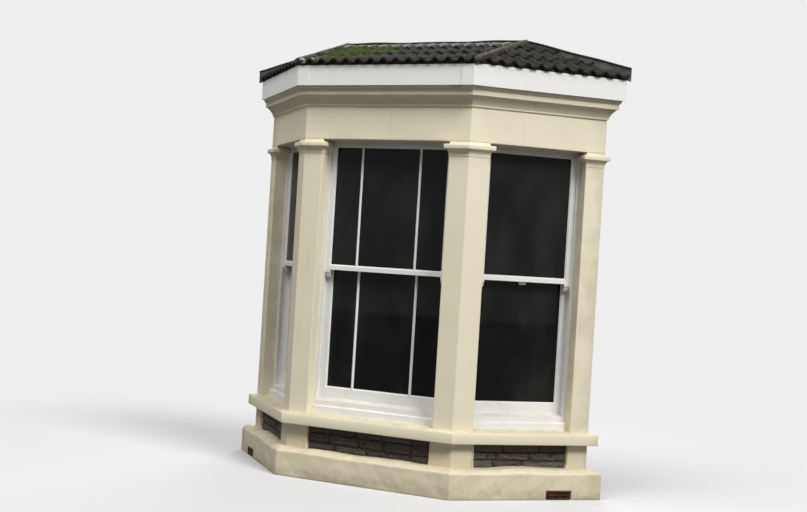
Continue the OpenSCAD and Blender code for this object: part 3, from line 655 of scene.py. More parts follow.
@dataclass(frozen=True)
class PaneWithPaintedDark:
    """Window glass with the unlit room behind it painted in: a clear gloss over a near-black base, with faint
    dust.
    """

    name: str = "window_glass_painted_dark"
    rough: Span = (0.03, 0.07)
    specular: float = 0.10

    def build(self) -> Material:
        """Makes the material."""
        s = Sheet(self.name)
        dust = s.noise(3.0, 6.0, (1.0, 1.0, 0.5))
        # Painted shade: the near-black base stands in for the unlit room behind the glass.
        colour = s.coat(Tone.GLASS_PAINTED_DARK, Tone.GLASS_DUST, dust, (0.40, 0.75))
        return s.wear(colour, s.span(dust, 0.4, 0.8, *self.rough), specular=self.specular)


@dataclass(frozen=True)
class MossCushion:
    """Dense short moss, with painted shade between the tufts and in the hollows of the mat."""

    name: str = "moss"
    rough: float = 0.98
    specular: float = 0.05

    def build(self) -> Material:
        """Makes the material."""
        s = Sheet(self.name)
        tufts = s.cells(260.0)
        # Painted shade: darker away from each tuft's middle, between the tufts.
        colour = s.coat(Tone.MOSS_LIGHT, Tone.MOSS_DARK, tufts, (0.25, 0.85), 0.8)
        colour = s.coat(colour, Tone.MOSS_PALE, s.noise(20.0, 4.0), (0.5, 0.7), 0.5)
        # Painted shade in the hollows between cushions, from the edge attribute.
        colour = s.coat(colour, Tone.MOSS_DARK, s.attribute("edge"), (0.45, 1.0), 0.9)
        return s.wear(colour, self.rough, s.relief((tufts, 0.9, 0.004)), self.specular)


@dataclass(frozen=True)
class Slope:
    """One roof slope, measured along its eaves (u) and square to them in plan (v).

    A point is origin + u * along + v * inward + (v * fall + h) * up, where h is the height above
    the bed of the tiles.
    """

    origin: Array
    along: Array
    inward: Array
    fall: float
    run: float
    low_ends: Span
    high_ends: Span

    def limits(self, v: Array) -> Pair:
        """Lowest and highest u of the slope at each v."""
        low, high = (ends[0] + v / self.run * (ends[1] - ends[0]) for ends in (self.low_ends, self.high_ends))
        return low, high

    def across(self, v: Array, columns: int) -> Array:
        """Even steps of u from side to side of the slope, in a row for each v."""
        low, high = self.limits(v)
        return low[:, None] + (high - low)[:, None] * np.linspace(0.0, 1.0, columns)

    def points(self, u: Array | float, v: Array | float, h: Array | float) -> Array:
        """Places in the row frame."""
        u, v, h = (value[..., None] for value in np.broadcast_arrays(u, v, h))
        up = np.array([0.0, 0.0, 1.0])
        return self.origin + u * self.along + v * self.inward + (v * self.fall + h) * up

    @staticmethod
    def of(side: Side, plan: Plan) -> "Slope":
        """The slope over one face of the bay."""
        run = plan.depth + plan.eaves_out
        foot_x = plan.corner_x(plan.eaves_out)
        rise = plan.roof_top_z - EAVES_Z
        if side is Side.FRONT:
            origin = np.array([0.0, WALL_Y - run, EAVES_Z])
            ends = (foot_x, plan.roof_top_half)
            return Slope(origin, np.array([1.0, 0.0, 0.0]), np.array([0.0, 1.0, 0.0]), rise / run, run,
                         (-ends[0], -ends[1]), ends)
        flip = 1.0 if side is Side.RIGHT else -1.0
        cos, sin = math.cos(plan.cant), math.sin(plan.cant)
        hip_x = plan.roof_top_half - foot_x
        side_run = cos * run - sin * hip_x
        top_u = cos * hip_x + sin * run
        origin = np.array([flip * foot_x, WALL_Y - run, EAVES_Z])
        return Slope(origin, np.array([flip * cos, sin, 0.0]), np.array([-flip * sin, cos, 0.0]),
                     rise / side_run, side_run, (0.0, top_u), (run / sin, top_u))


@dataclass
class TiledRoof:
    """Rows of rolled clay tiles on the three slopes, with their bed and the mortar at the eaves.

    The shifts are a tile's usual slip, skew, tilt and lift. Its lower edge is pushed up the slope on
    the rolls and at the eaves. It carries painted shade in the pans, at that edge and on its underside.
    """

    tile_w: float = 0.330
    rolls: int = 3
    roll_h: float = 0.026
    roll_w: float = 0.036
    courses: int = 3
    lap: float = 0.070
    thick: float = 0.015
    low_h: float = 0.036
    high_h: float = 0.019
    joint: float = 0.0016
    shifts: tuple[float, ...] = (0.0035, 0.004, 0.0022, 0.0012)
    wave: Span = (0.0012, 0.09)
    ease: float = 0.12
    push: Span = (0.003, 0.002)
    shade: Span = (0.62, 0.70)
    smallest: float = 0.006
    bed_thick: float = 0.003
    fillet_in: float = 0.006
    fillet_v: tuple[float, ...] = (0.0, 0.006, 0.018, 0.030)
    fillet_step: float = 0.006
    fillet_room: float = 0.001
    fillet_wave: Span = (0.003, 0.05)
    top_room: float = 0.008
    columns: int = 49
    rows: int = 8
    seed: int = 11

    def roll(self, u: Array) -> Array:
        """Height of the rolls over the pans.

        With x the distance to the nearest roll's middle and w half a roll's width, the height is
        roll_h * cos(pi x / 2w) to the power 1.2 inside the roll, and nothing outside.
        """
        pitch = self.tile_w / self.rolls
        x = np.abs((u / pitch + 0.5) % 1.0 - 0.5) * pitch
        crest = np.cos(np.clip(x / self.roll_w, 0.0, 1.0) * np.pi / 2.0)
        return self.roll_h * np.clip(crest, 0.0, 1.0) ** 1.2

    def base(self, v: Array, start: float | Array, gauge: float) -> Array:
        """Height of a course's pans, falling from its lower edge to where the next one covers it."""
        return self.low_h + (self.high_h - self.low_h) * (v - start) / gauge

    def sides(self, slope: Slope, u_span: Span, v: Array) -> Pair:
        """Left and right end of a tile at each v, cut by the ends of the slope."""
        low, high = slope.limits(v)
        return np.maximum(u_span[0], low) + self.joint, np.minimum(u_span[1], high) - self.joint

    def tile(self, slope: Slope, u_span: Span, v_span: Span, gauge: float,
             rng: np.random.Generator) -> tuple[Pair, Array] | None:
        """One tile, cut by the hip and by the house wall.

        Args:
            slope: the slope that it lies on.
            u_span: its two sides.
            v_span: its lower and upper edge.
            gauge: distance between courses.
            rng: source of its small shifts.

        Returns:
            The solid and the painted shade of each point (pans, lower edge and underside), or None
            where nothing of it is left.
        """
        slip, skew, tilt, lift = rng.normal(0.0, self.shifts)
        v = np.linspace(*v_span, 120)
        left, right = self.sides(slope, u_span, v)
        kept = v[right - left > self.smallest]
        if len(kept) < 4:
            return None
        v = np.linspace(kept[0], kept[-1], self.rows)[:, None]
        left, right = self.sides(slope, u_span, v)
        u = left + (right - left) * np.linspace(0.0, 1.0, self.columns)
        across = (u - u_span[0]) / self.tile_w - 0.5
        crest = self.roll(u) / self.roll_h
        height = self.base(v, v_span[0], gauge) + self.roll(u) + lift - tilt * across
        height = height + waves(xyz(u, v, 0.0), self.wave, int(rng.integers(1 << 30)))
        eased = np.clip(1.0 - (v - kept[0]) / self.ease, 0.0, 1.0)
        upper = v_span[0] > 0.0
        shift = abs(slip) + skew * across if upper else self.push[1]
        v = v + eased * (shift + self.push[0] * crest)
        # Painted shade: deeper in the pans than on the crests, darkest along the lower edge, and full on the
        # underside.
        dark = self.shade[0] * (1.0 - crest)
        dark[0] = self.shade[1]
        solid = closed_shell(slope.points(u, v, height), slope.points(u, v, height - self.thick))
        return solid, np.concatenate([dark.ravel(), np.ones(dark.size)])

    def bed(self, slope: Slope, first_v: float) -> Pair:
        """Battens and felt as one thin closed sheet under the tiles."""
        v = np.linspace(first_v, slope.run, 12)
        u = slope.across(v, 16)
        return closed_shell(slope.points(u, v[:, None], self.bed_thick), slope.points(u, v[:, None], 0.0))

    def fillet(self, slope: Slope, first_v: float) -> Pair:
        """Mortar that fills the rolls at the eaves, with a rough face."""
        v = first_v + np.array(self.fillet_v)
        low, high = slope.limits(v[0])
        u, v = slope.across(v, int((high - low) / self.fillet_step)), v[:, None]
        height = self.base(v, 0.0, slope.run / self.courses) + self.roll(u) - self.thick - self.fillet_room
        v = v + waves(xyz(u, v, 0.0), self.fillet_wave, self.seed + 5)
        return closed_shell(slope.points(u, v, height), slope.points(u, v, 0.0))

    def build(self, plan: Plan, tile: Material, mortar: Material) -> None:
        """Makes the pieces that stand for the three slopes."""
        rng = np.random.default_rng(self.seed)
        fillets = Batch()
        eaves_v = plan.eaves_out - plan.fascia_out + self.fillet_in
        for side in Side:
            slope = Slope.of(side, plan)
            gauge = slope.run / self.courses
            batch = Batch()
            low, high = slope.limits(np.array([0.0, slope.run]))
            first = math.floor(low.min() / self.tile_w) - 1
            last = math.ceil(high.max() / self.tile_w) + 1
            shift = 0.5 * self.tile_w * (side is Side.FRONT)
            for course in range(self.courses):
                start = course * gauge
                end = min(start + gauge + self.lap, slope.run - self.top_room)
                for i in range(first, last):
                    span = (i * self.tile_w + shift, (i + 1) * self.tile_w + shift)
                    cut = self.tile(slope, span, (start, end), gauge, rng)
                    if cut is not None:
                        batch.add(cut[0], float(rng.uniform()), cut[1])
            batch.add(self.bed(slope, eaves_v))
            batch.build(f"tiles_{side.value}", 50.0, tile, "roof_tile", f"roof_{side.value}")
            fillets.add(self.fillet(slope, eaves_v))
        fillets.build("eaves_mortar", 40.0, mortar, "roof_tile")


@dataclass
class Hips:
    """Low mortared hips over the joints between the slopes."""

    radius: float = 0.022
    lift: float = 0.043
    skirt: float = 0.040
    squash: float = 0.85
    long_wave: Span = (0.08, 0.16)
    short_wave: Span = (0.04, 0.045)
    seed: int = 23

    def solid(self, foot: Array, top: Array, seed: int) -> Pair:
        """Rough half round along the hip.

        A point at share s and angle a is foot + s (top - foot) + r cos(a) side + squash r sin(a) up,
        and r is the radius with two sizes of waves. The ends are drawn in to a round nose.
        """
        s = np.linspace(0.0, 1.0, 90)[:, None]
        a = np.linspace(0.0, np.pi, 15)
        axis = top - foot
        length = np.linalg.norm(axis)
        side = np.cross(axis, [0.0, 0.0, 1.0])
        side /= np.linalg.norm(side)
        up = np.cross(side, axis / length)
        nose = np.clip(s * length / self.radius, 0.0, 1.0)
        nose = np.sqrt(np.clip(1.0 - (1.0 - nose) ** 2, 0.05, 1.0))
        line = (foot + s * axis)[:, None]
        r = self.radius * (1.0 + waves(line + 0.2 * np.cos(a)[:, None], self.long_wave, seed))
        r = r * nose * (1.0 + waves(line + 0.05 * a[:, None], self.short_wave, seed + 1))
        edge = line + (r * np.cos(a))[..., None] * side
        crown = (r * np.sin(a) * self.squash)[..., None] * up
        return closed_shell(edge + crown, edge - self.skirt * nose[..., None] * up)

    def build(self, plan: Plan, roof: TiledRoof, mortar: Material) -> None:
        """Makes the piece that stands for the two hips."""
        slope = Slope.of(Side.FRONT, plan)
        v = np.array([0.0, slope.run - roof.top_room])
        foot, top = slope.points(slope.limits(v)[1], v, self.lift)
        mirror = np.array([-1.0, 1.0, 1.0])
        batch = Batch()
        batch.add(self.solid(foot, top, self.seed))
        batch.add(self.solid(foot * mirror, top * mirror, self.seed + 40))
        batch.build("hips", 70.0, mortar, "roof_tile", "hip_tiles")


@dataclass
class LeadFlashing:
    """Lead dressed over the top tiles, turned up the house wall and pointed in along its top."""

    cover: float = 0.190
    dress: float = 0.85
    thick: float = 0.004
    stand: float = 0.006
    low_h: float = 0.115
    high_h: float = 0.058
    point_h: float = 0.014
    side_room: float = 0.05
    wall_room: float = 0.001
    press: float = 0.03
    bead: Span = (0.003, 0.7)
    edge_wave: Span = (0.006, 0.25)
    apron_wave: Span = (0.0012, 0.07)
    top_wave: Span = (0.0025, 0.3)
    wall_wave: Span = (0.0012, 0.08)
    bead_wave: Span = (0.15, 0.05)
    seed: int = 31

    def apron(self, slope: Slope, roof: TiledRoof) -> Pair:
        """Sheet that follows the rolls softly: pans plus a share of the roll's height, plus a clearance."""
        high_v = slope.run - self.wall_room
        low, high = slope.limits(high_v)
        u = np.linspace(low + self.side_room, high - self.side_room, 300)
        edge = slope.run - self.cover + waves(xyz(u, 0.0, 0.0), self.edge_wave, self.seed)
        v = edge + (high_v - edge) * np.linspace(0.0, 1.0, 12)[:, None]
        gauge = slope.run / roof.courses
        height = roof.base(v, (roof.courses - 1) * gauge, gauge) + self.dress * roof.roll(u) + self.stand
        height = height + waves(xyz(u, v, 0.0), self.apron_wave, self.seed + 1)
        press = np.clip((v - high_v + self.press) / self.press, 0.0, 1.0)
        height = height * (1.0 - press) + (roof.high_h + roof.roll_h) * press
        return closed_shell(slope.points(u, v, height), slope.points(u, v, height - self.thick))

    def upstand(self, plan: Plan, flip: float) -> tuple[Array, Array, Array]:
        """Lines of the upstand's foot and top from the middle of the bay to one end of the eaves."""
        knots = [0.0, plan.roof_top_half, plan.wall_x(plan.eaves_out)]
        xs = np.concatenate([np.linspace(*knots[:2], 40), np.linspace(*knots[1:], 60)[1:]])
        foot = np.interp(xs, knots, [plan.roof_top_z, plan.roof_top_z, EAVES_Z])
        head = foot + np.interp(xs, knots, [self.high_h, self.high_h, self.low_h])
        head = head + waves(xyz(xs, 0.0, 0.0), self.top_wave, self.seed + 2) - self.top_wave[0]
        return flip * xs, foot, head

    def wall_strip(self, plan: Plan, flip: float) -> Pair:
        """The upstand as a thin sheet on the wall's face, with soft dents."""
        x, foot, head = self.upstand(plan, flip)
        z = foot + (head - self.point_h - foot) * np.linspace(0.0, 1.0, 8)[:, None]
        face = xyz(x, WALL_Y - self.thick, z)
        face[..., 1] -= self.wall_wave[0] + waves(face, self.wall_wave, self.seed + 3)
        return closed_shell(face, xyz(x, WALL_Y, z))

    def pointing(self, plan: Plan, flip: float) -> Pair:
        """Mortar bead along the top of the upstand."""
        x, _, head = self.upstand(plan, flip)
        a = np.linspace(-0.5, 0.5, 7)[:, None] * np.pi
        r = self.point_h * (1.0 + waves(xyz(x, 0.0, 0.0), self.bead_wave, self.seed + 4))
        y = WALL_Y - self.bead[0] - self.bead[1] * r * np.cos(a)
        z = head - self.point_h / 2 + 0.5 * self.point_h * np.sin(a)
        return closed_shell(xyz(x, y, z), xyz(x, WALL_Y, z))

    def build(self, plan: Plan, roof: TiledRoof, lead: Material, mortar: Material) -> None:
        """Makes the lead and its pointing."""
        sheets, beads = Batch(), Batch()
        sheets.add(self.apron(Slope.of(Side.FRONT, plan), roof))
        for flip in (1.0, -1.0):
            sheets.add(self.wall_strip(plan, flip))
            beads.add(self.pointing(plan, flip))
        sheets.build("lead_flashing", 60.0, lead, "lead", "flashing")
        beads.build("flashing_pointing", 60.0, mortar, "painted_render")


@dataclass
class Moss:
    """One mat of moss cushions on the left part of the front slope.

    Each row of rim gives a wave of the mat's outline: its size, its count and its start.
    """

    count: int = 620
    middle: Span = (-0.50, 0.50)
    spread: Span = (0.31, 0.27)
    radius: Span = (0.012, 0.034)
    rim: tuple[Triple, ...] = ((0.18, 3.0, 1.0), (0.14, 7.0, 0.0), (0.08, 13.0, 0.0))
    cells: tuple[int, int] = (250, 120)
    flat: float = 0.55
    sink: float = 0.004
    depth: float = 0.012
    shade_h: float = 0.016
    fuzz: Span = (0.0016, 0.014)
    fuzz_from: float = 0.004
    hip_room: float = 0.030
    wall_room: float = 0.012
    lead_room: float = 0.002
    seed: int = 47

    def scatter(self, rng: np.random.Generator) -> tuple[Array, Array, Array]:
        """Middles and radii of the cushions in an uneven oval patch, smaller towards its rim."""
        angle = rng.uniform(0.0, 2.0 * np.pi, self.count)
        reach = sum((size * np.sin(turns * angle + start) for size, turns, start in self.rim), 1.0)
        share = rng.uniform(0.0, 1.0, self.count) ** 0.55
        u = self.middle[0] + self.spread[0] * share * reach * np.cos(angle)
        v = self.middle[1] + self.spread[1] * share * reach * np.sin(angle)
        return u, v, rng.uniform(*self.radius, self.count) * (1.15 - 0.65 * share)

    def domes(self, u: Array, v: Array) -> Array:
        """Height of the mat: the highest of all cushions, each flat * sqrt(r^2 - distance^2)."""
        height = np.zeros_like(u)
        for cu, cv, radius in zip(*self.scatter(np.random.default_rng(self.seed))):
            inside = radius ** 2 - (u - cu) ** 2 - (v - cv) ** 2
            height = np.maximum(height, self.flat * np.sqrt(np.clip(inside, 0.0, None)))
        return height

    def build(self, plan: Plan, roof: TiledRoof, lead: LeadFlashing, moss: Material) -> None:
        """Lays the mat over tiles and lead; where it has no height it stays just below them."""
        slope = Slope.of(Side.FRONT, plan)
        gauge = slope.run / roof.courses
        first_v = self.middle[1] - 1.2 * self.spread[1]
        share, v = np.meshgrid(np.linspace(0.0, 1.0, self.cells[0]),
                               np.linspace(first_v, slope.run - self.wall_room, self.cells[1]))
        half = 1.25 * self.spread[0]
        left = np.maximum(self.middle[0] - half, slope.limits(v)[0] + self.hip_room)
        u = left + (self.middle[0] + half - left) * share
        start = np.minimum(np.floor(v / gauge), roof.courses - 1) * gauge
        dressed = lead.dress * roof.roll(u) + lead.stand + self.lead_room
        ground = roof.base(v, start, gauge) + np.where(v > slope.run - lead.cover, dressed, roof.roll(u))
        dome = self.domes(u, v)
        fuzz = waves(xyz(u, v, 0.0), self.fuzz, self.seed + 1) * (dome > self.fuzz_from)
        top = slope.points(u, v, ground - self.sink + dome + fuzz)
        mat = closed_shell(top, slope.points(u, v, ground - self.depth))
        # Painted shade where the mat is thin, in the hollows between cushions.
        hollow_shade = np.clip(1.0 - dome / self.shade_h, 0.0, 1.0).ravel()
        Batch().add(mat, edge=np.tile(hollow_shade, 2)).build("moss_mat", 80.0, moss, "roof_tile")


@dataclass
class StonePanels:
    """Coursed stones in dark mortar below the sills."""

    course_h: Span = (0.050, 0.080)
    courses: int = 3
    stone_l: Span = (0.12, 0.34)
    proud: Span = (0.008, 0.015)
    joint: float = 0.008
    bed: float = 0.012
    lean: float = 0.008
    stone_depth: float = 0.018
    back: float = 0.105
    long_wave: Span = (0.0045, 0.10)
    short_wave: Span = (0.0024, 0.03)
    bed_wave: Span = (0.0055, 0.5)
    mortar_wave: Span = (0.003, 0.05)
    seed: int = 8

    def stone(self, ends: Array, leans: Array, beds: Callable[[int, Array], Array], course: int,
              proud: float, seed: int) -> Pair:
        """One stone: a face with rounded arrises and rough waves.

        With s and t from -1 to 1 over the face, the depth is proud plus waves, times
        (1 - |s|^9) (1 - |t|^6) to the power 0.7, so the face falls back to the mortar at its edges.
        The sides lean and the beds wave.

        Args:
            ends: left and right end.
            leans: how far each end leans over half the stone's height.
            beds: level of a bed joint at each x.
            course: number of the course, from below.
            proud: how far the face stands before the mortar.
            seed: seed of its waves.

        Returns:
            Vertices and quads in face coordinates, from the mortar's face.
        """
        s, t = np.meshgrid(np.linspace(-1.0, 1.0, 26), np.linspace(-1.0, 1.0, 14))
        left = ends[0] + self.joint / 2 + leans[0] * t
        right = ends[1] - self.joint / 2 + leans[1] * t
        x = left + (right - left) * (s + 1.0) / 2
        low = beds(course, x) + self.joint / 2
        high = beds(course + 1, x) - self.joint / 2
        z = low + (high - low) * (t + 1.0) / 2
        fade = (1.0 - np.abs(s) ** 9) * (1.0 - np.abs(t) ** 6)
        flat = xyz(x, 0.0, z * 2.0)
        rough = waves(flat, self.long_wave, seed + 1) + waves(flat, self.short_wave, seed + 2)
        return closed_shell(xyz(x, -(proud + rough) * fade ** 0.7, z), xyz(x, self.stone_depth, z))

    def panel(self, side: Side, plan: Plan, rng: np.random.Generator, stones: Batch, mortar: Batch) -> None:
        """Lays the courses of one panel, each from random lengths that fill the width.

        Args:
            side: the face of the bay.
            plan: sizes of the bay.
            rng: source of heights, lengths, leans and tones.
            stones: takes the stones.
            mortar: takes the mortar behind them.
        """
        half = plan.panel_half(side)
        front_y = plan.panel_setback + self.bed
        low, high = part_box(f"stone_{side.value}")
        heights = np.cumsum(rng.uniform(*self.course_h, self.courses))
        levels = low.z + (high.z - low.z) * np.concatenate([[0.0], heights / heights[-1]])

        def beds(course: int, x: Array) -> Array:
            """Level of a bed joint, wavy between the panel's straight top and foot."""
            inner = 0 < course < self.courses
            return levels[course] + inner * waves(xyz(x, course, 0.0), self.bed_wave, self.seed + course)

        for course in range(self.courses):
            lengths = rng.uniform(*self.stone_l, int(round(2 * half / np.mean(self.stone_l))))
            ends = np.concatenate([[0.0], np.cumsum(lengths) / lengths.sum()]) * 2 * half - half
            leans = rng.uniform(-self.lean, self.lean, len(ends))
            leans[[0, -1]] = 0.0
            for i in range(len(lengths)):
                verts, quads = self.stone(ends[i:i + 2], leans[i:i + 2], beds, course,
                                          rng.uniform(*self.proud), int(rng.integers(1 << 20)))
                solid = plan.on_face(side, (verts + [0.0, front_y, 0.0], quads))
                stones.add(solid, float(rng.uniform()))
        x, z = np.meshgrid(np.linspace(-half, half, 160), np.linspace(low.z, high.z, 34))
        y = front_y - self.mortar_wave[0] + waves(xyz(x, 0.0, z), self.mortar_wave, self.seed + 9)
        mortar.add(plan.on_face(side, closed_shell(xyz(x, y, z), xyz(x, self.back, z))))

    def build(self, plan: Plan, stone: Material, mortar: Material) -> None:
        """Makes stones and mortar for each panel."""
        rng = np.random.default_rng(self.seed)
        for side in Side:
            stones, bed = Batch(), Batch()
            self.panel(side, plan, rng, stones, bed)
            stones.build(f"stones_{side.value}", 45.0, stone, "pennant_stone", f"stone_{side.value}")
            bed.build(f"stone_bed_{side.value}", 40.0, mortar, "pennant_stone")


@dataclass
class Haunches:
    """Render run out over the ends of each stone panel, wider at the foot."""

    reach: Span = (0.003, 0.019)
    over: float = 0.002
    sunk: float = 0.001
    root: float = 0.004
    depth: float = 0.040
    sweep: float = 0.016
    wave: Span = (0.0022, 0.09)
    seed: int = 29

    def wedge(self, flip: float, half: float, z: Span, face_y: float, seed: int) -> Pair:
        """Wedge at one end of a panel: its free edge runs from reach[0] at the top to reach[1] below."""
        t, s = np.meshgrid(np.linspace(0.0, 1.0, 24), np.linspace(0.0, 1.0, 8), indexing="ij")
        wobble = waves(xyz(t * 0.2, 0.0, seed), self.wave, seed)
        free = self.reach[1] + (self.reach[0] - self.reach[1]) * t ** 0.8 + wobble
        x = flip * (half + self.root - s * (free + self.root))
        level = z[0] + (z[1] - z[0]) * t
        y = face_y + self.sweep * s ** 3
        return closed_shell(xyz(x, y, level), xyz(x, face_y + self.depth, level))

    def build(self, plan: Plan, paint: Material) -> None:
        """Adds both wedges of each panel, flush with the pier bases."""
        batch = Batch()
        for i, side in enumerate(Side):
            low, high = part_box(f"stone_{side.value}")
            span = (low.z - self.over, high.z + self.over)
            for flip in (1.0, -1.0):
                solid = self.wedge(flip, plan.panel_half(side), span, self.sunk - plan.base_extra,
                                   self.seed + 2 * i + int(flip))
                batch.add(plan.on_face(side, solid))
        batch.build("pier_haunches", 60.0, paint, "painted_render")


@dataclass
class GlazingBars:
    """Two upright bars in each sash of the front window."""

    width: float = 0.022
    at: float = 0.257
    depth: Span = (0.002, 0.042)
    rail_h: float = 0.060
    rail_cover: float = 0.002
    bead: float = 0.004

    def section(self) -> Array:
        """Half of the bar's outline from front to back, as (half width, share of the depth).

        A putty bevel runs out to the rebate, then an ovolo draws in to the inner fillet.
        """
        a = np.linspace(0.0, np.pi / 2, 6)
        ovolo = np.stack([0.5 - 0.34 * np.sin(a), 0.52 + 0.30 * (1.0 - np.cos(a))], -1)
        return np.concatenate([[[0.09, 0.0], [0.5, 0.24], [0.5, 0.50]], ovolo, [[0.16, 0.97], [0.12, 1.0]]])

    def bar(self, x: float, y: float, z: Span) -> Pair:
        """One bar behind a sash's face and between two levels, in face coordinates."""
        half, share = self.section().T
        depth = y + self.depth[0] + share * (self.depth[1] - self.depth[0])
        levels = np.array(z)[:, None]
        left, right = (xyz(x + flip * half * self.width, depth, levels) for flip in (-1.0, 1.0))
        return closed_shell(left, right)

    def sight(self, name: str) -> Span:
        """Levels between which the bars of a sash stand, just inside its rails."""
        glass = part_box("glass_front")
        if name == "upper":
            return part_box("lower_sash_front")[1].z - self.rail_cover, glass[1].z - self.bead
        return glass[0].z + self.bead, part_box("upper_sash_front")[0].z + self.rail_h + self.rail_cover

    def build(self, plan: Plan, paint: Material) -> None:
        """Makes the bars of both sashes."""
        for name in ("upper", "lower"):
            sash_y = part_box(f"{name}_sash_front")[0].y - (WALL_Y - plan.depth)
            batch = Batch()
            for x in (-self.at, self.at):
                batch.add(plan.on_face(Side.FRONT, self.bar(x, sash_y, self.sight(name))))
            batch.build(f"{name}_bars_front", 30.0, paint, "window_paint")


def softened(node: str, width: float, name: str) -> Piece:
    """Copy of a node with its arrises eased by a small bevel.

    Args:
        node: the node's name.
        width: width of the bevel.
        name: name of the new piece.

    Returns:
        The new object, still without a finish.
    """
    form = opened(frame["nodes"][node].data, 2e-5)
    bmesh.ops.dissolve_degenerate(form, edges=form.edges, dist=1e-5)
    sharp = [e for e in form.edges if len(e.link_faces) == 2 and e.calc_face_angle(0.0) > math.radians(28.0)]
    bmesh.ops.bevel(form, geom=sharp, offset=width, offset_type="OFFSET", segments=2, profile=0.6,
                    affect="EDGES", clamp_overlap=True)
    bmesh.ops.triangulate(form, faces=[face for face in form.faces if len(face.verts) > 4])
    return finished(form, bpy.data.meshes.new(name), 25.0)


@dataclass
class RenderedFrieze:
    """The frieze as one hand-floated band round the three faces, with eased arrises."""

    back: float = -0.105
    arris: float = 0.005
    ease: float = 0.007
    step: float = 0.020
    swell: Span = (0.0014, 0.30)
    seed: int = 61

    def profile(self, low_z: float, high_z: float) -> Pair:
        """Offsets and levels of the outer line from the back of the soffit to the top."""
        a = np.linspace(0.0, np.pi / 2, 5)
        soffit = np.linspace(self.back, -self.arris, 7)[:-1]
        out = np.concatenate([soffit, -self.arris * (1.0 - np.sin(a)), np.zeros(24)])
        turn = low_z + self.arris * (1.0 - np.cos(a))
        face = np.linspace(low_z + self.arris, high_z, 25)[1:]
        return out, np.concatenate([np.full(6, low_z), turn, face])

    def path(self, plan: Plan, out: Array, level: Array) -> Array:
        """Places along the three faces for each offset, with the corners drawn as short curves.

        Between the middles of two faces a point at share t is the curve (1-t)^2 a + 2t(1-t) corner +
        t^2 b near the corner and straight elsewhere.

        Args:
            plan: sizes of the bay.
            out: plan offset of each line.
            level: level of each line.

        Returns:
            Array (steps, lines, 3).
        """
        corner = np.stack([plan.corner_x(out), WALL_Y - plan.depth - out], -1)
        end = np.stack([plan.wall_x(out), np.full_like(out, WALL_Y)], -1)
        along = (end - corner) / np.linalg.norm(end - corner, axis=1, keepdims=True)
        before = corner - [self.ease, 0.0]
        after = corner + self.ease * along
        mirror = np.array([-1.0, 1.0])
        t = np.linspace(0.0, 1.0, 7)[1:-1, None, None]
        curve = (1 - t) ** 2 * before + 2 * t * (1 - t) * corner + t ** 2 * after
        t = np.linspace(0.0, 1.0, int(plan.side_l / self.step))[:, None, None]
        half = np.concatenate([curve, after + t * (end - after)])
        t = np.linspace(0.0, 1.0, int(plan.front_w / self.step))[:, None, None]
        flat = np.concatenate([half[::-1] * mirror, before * mirror * (1 - t) + before * t, half])
        return xyz(flat[..., 0], flat[..., 1], level)

    def build(self, plan: Plan, paint: Material) -> None:
        """Sweeps the profile and gives its face a slight unevenness."""
        low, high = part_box("frieze_front")
        out, level = self.profile(low.z, high.z)
        outer = self.path(plan, out, level)
        inner = self.path(plan, np.full_like(out, self.back), np.linspace(low.z, high.z, len(out)))
        free = np.clip((WALL_Y - outer[..., 1]) / 0.03, 0.0, 1.0) * (out > -0.02)
        outer[..., 1] += free * waves(outer, self.swell, self.seed)
        batch = Batch().add(closed_shell(outer, inner))
        faces = [f"frieze_{side.value}" for side in Side]
        batch.build("rendered_frieze", 50.0, paint, "painted_render", *faces)


@dataclass
class MortarLump:
    """Mortar squeezed out under the fascia beside a corner."""

    size: Triple = (0.095, 0.020, 0.024)
    x: float = 0.615
    sunk: Span = (0.012, 0.002)
    wave: Span = (0.22, 1.1)
    seed: int = 97

    def build(self, mortar: Material) -> None:
        """Makes a squashed ball whose radius has waves."""
        a, b = np.meshgrid(np.linspace(0.0, 2.0 * np.pi, 33), np.linspace(0.02, np.pi - 0.02, 15))
        ball = xyz(np.cos(a) * np.sin(b), np.sin(a) * np.sin(b), np.cos(b))
        ball = ball * (1.0 + waves(ball, self.wave, self.seed))[..., None] * 0.5 * np.array(self.size)
        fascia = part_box("fascia_front")[0]
        ball = ball + [self.x, fascia.y + self.sunk[0], fascia.z - self.sunk[1]]
        batch = Batch().add(closed_shell(ball, ball * 0.98 + ball.mean(axis=(0, 1)) * 0.02))
        batch.build("fascia_mortar_lump", 80.0, mortar, "painted_render")


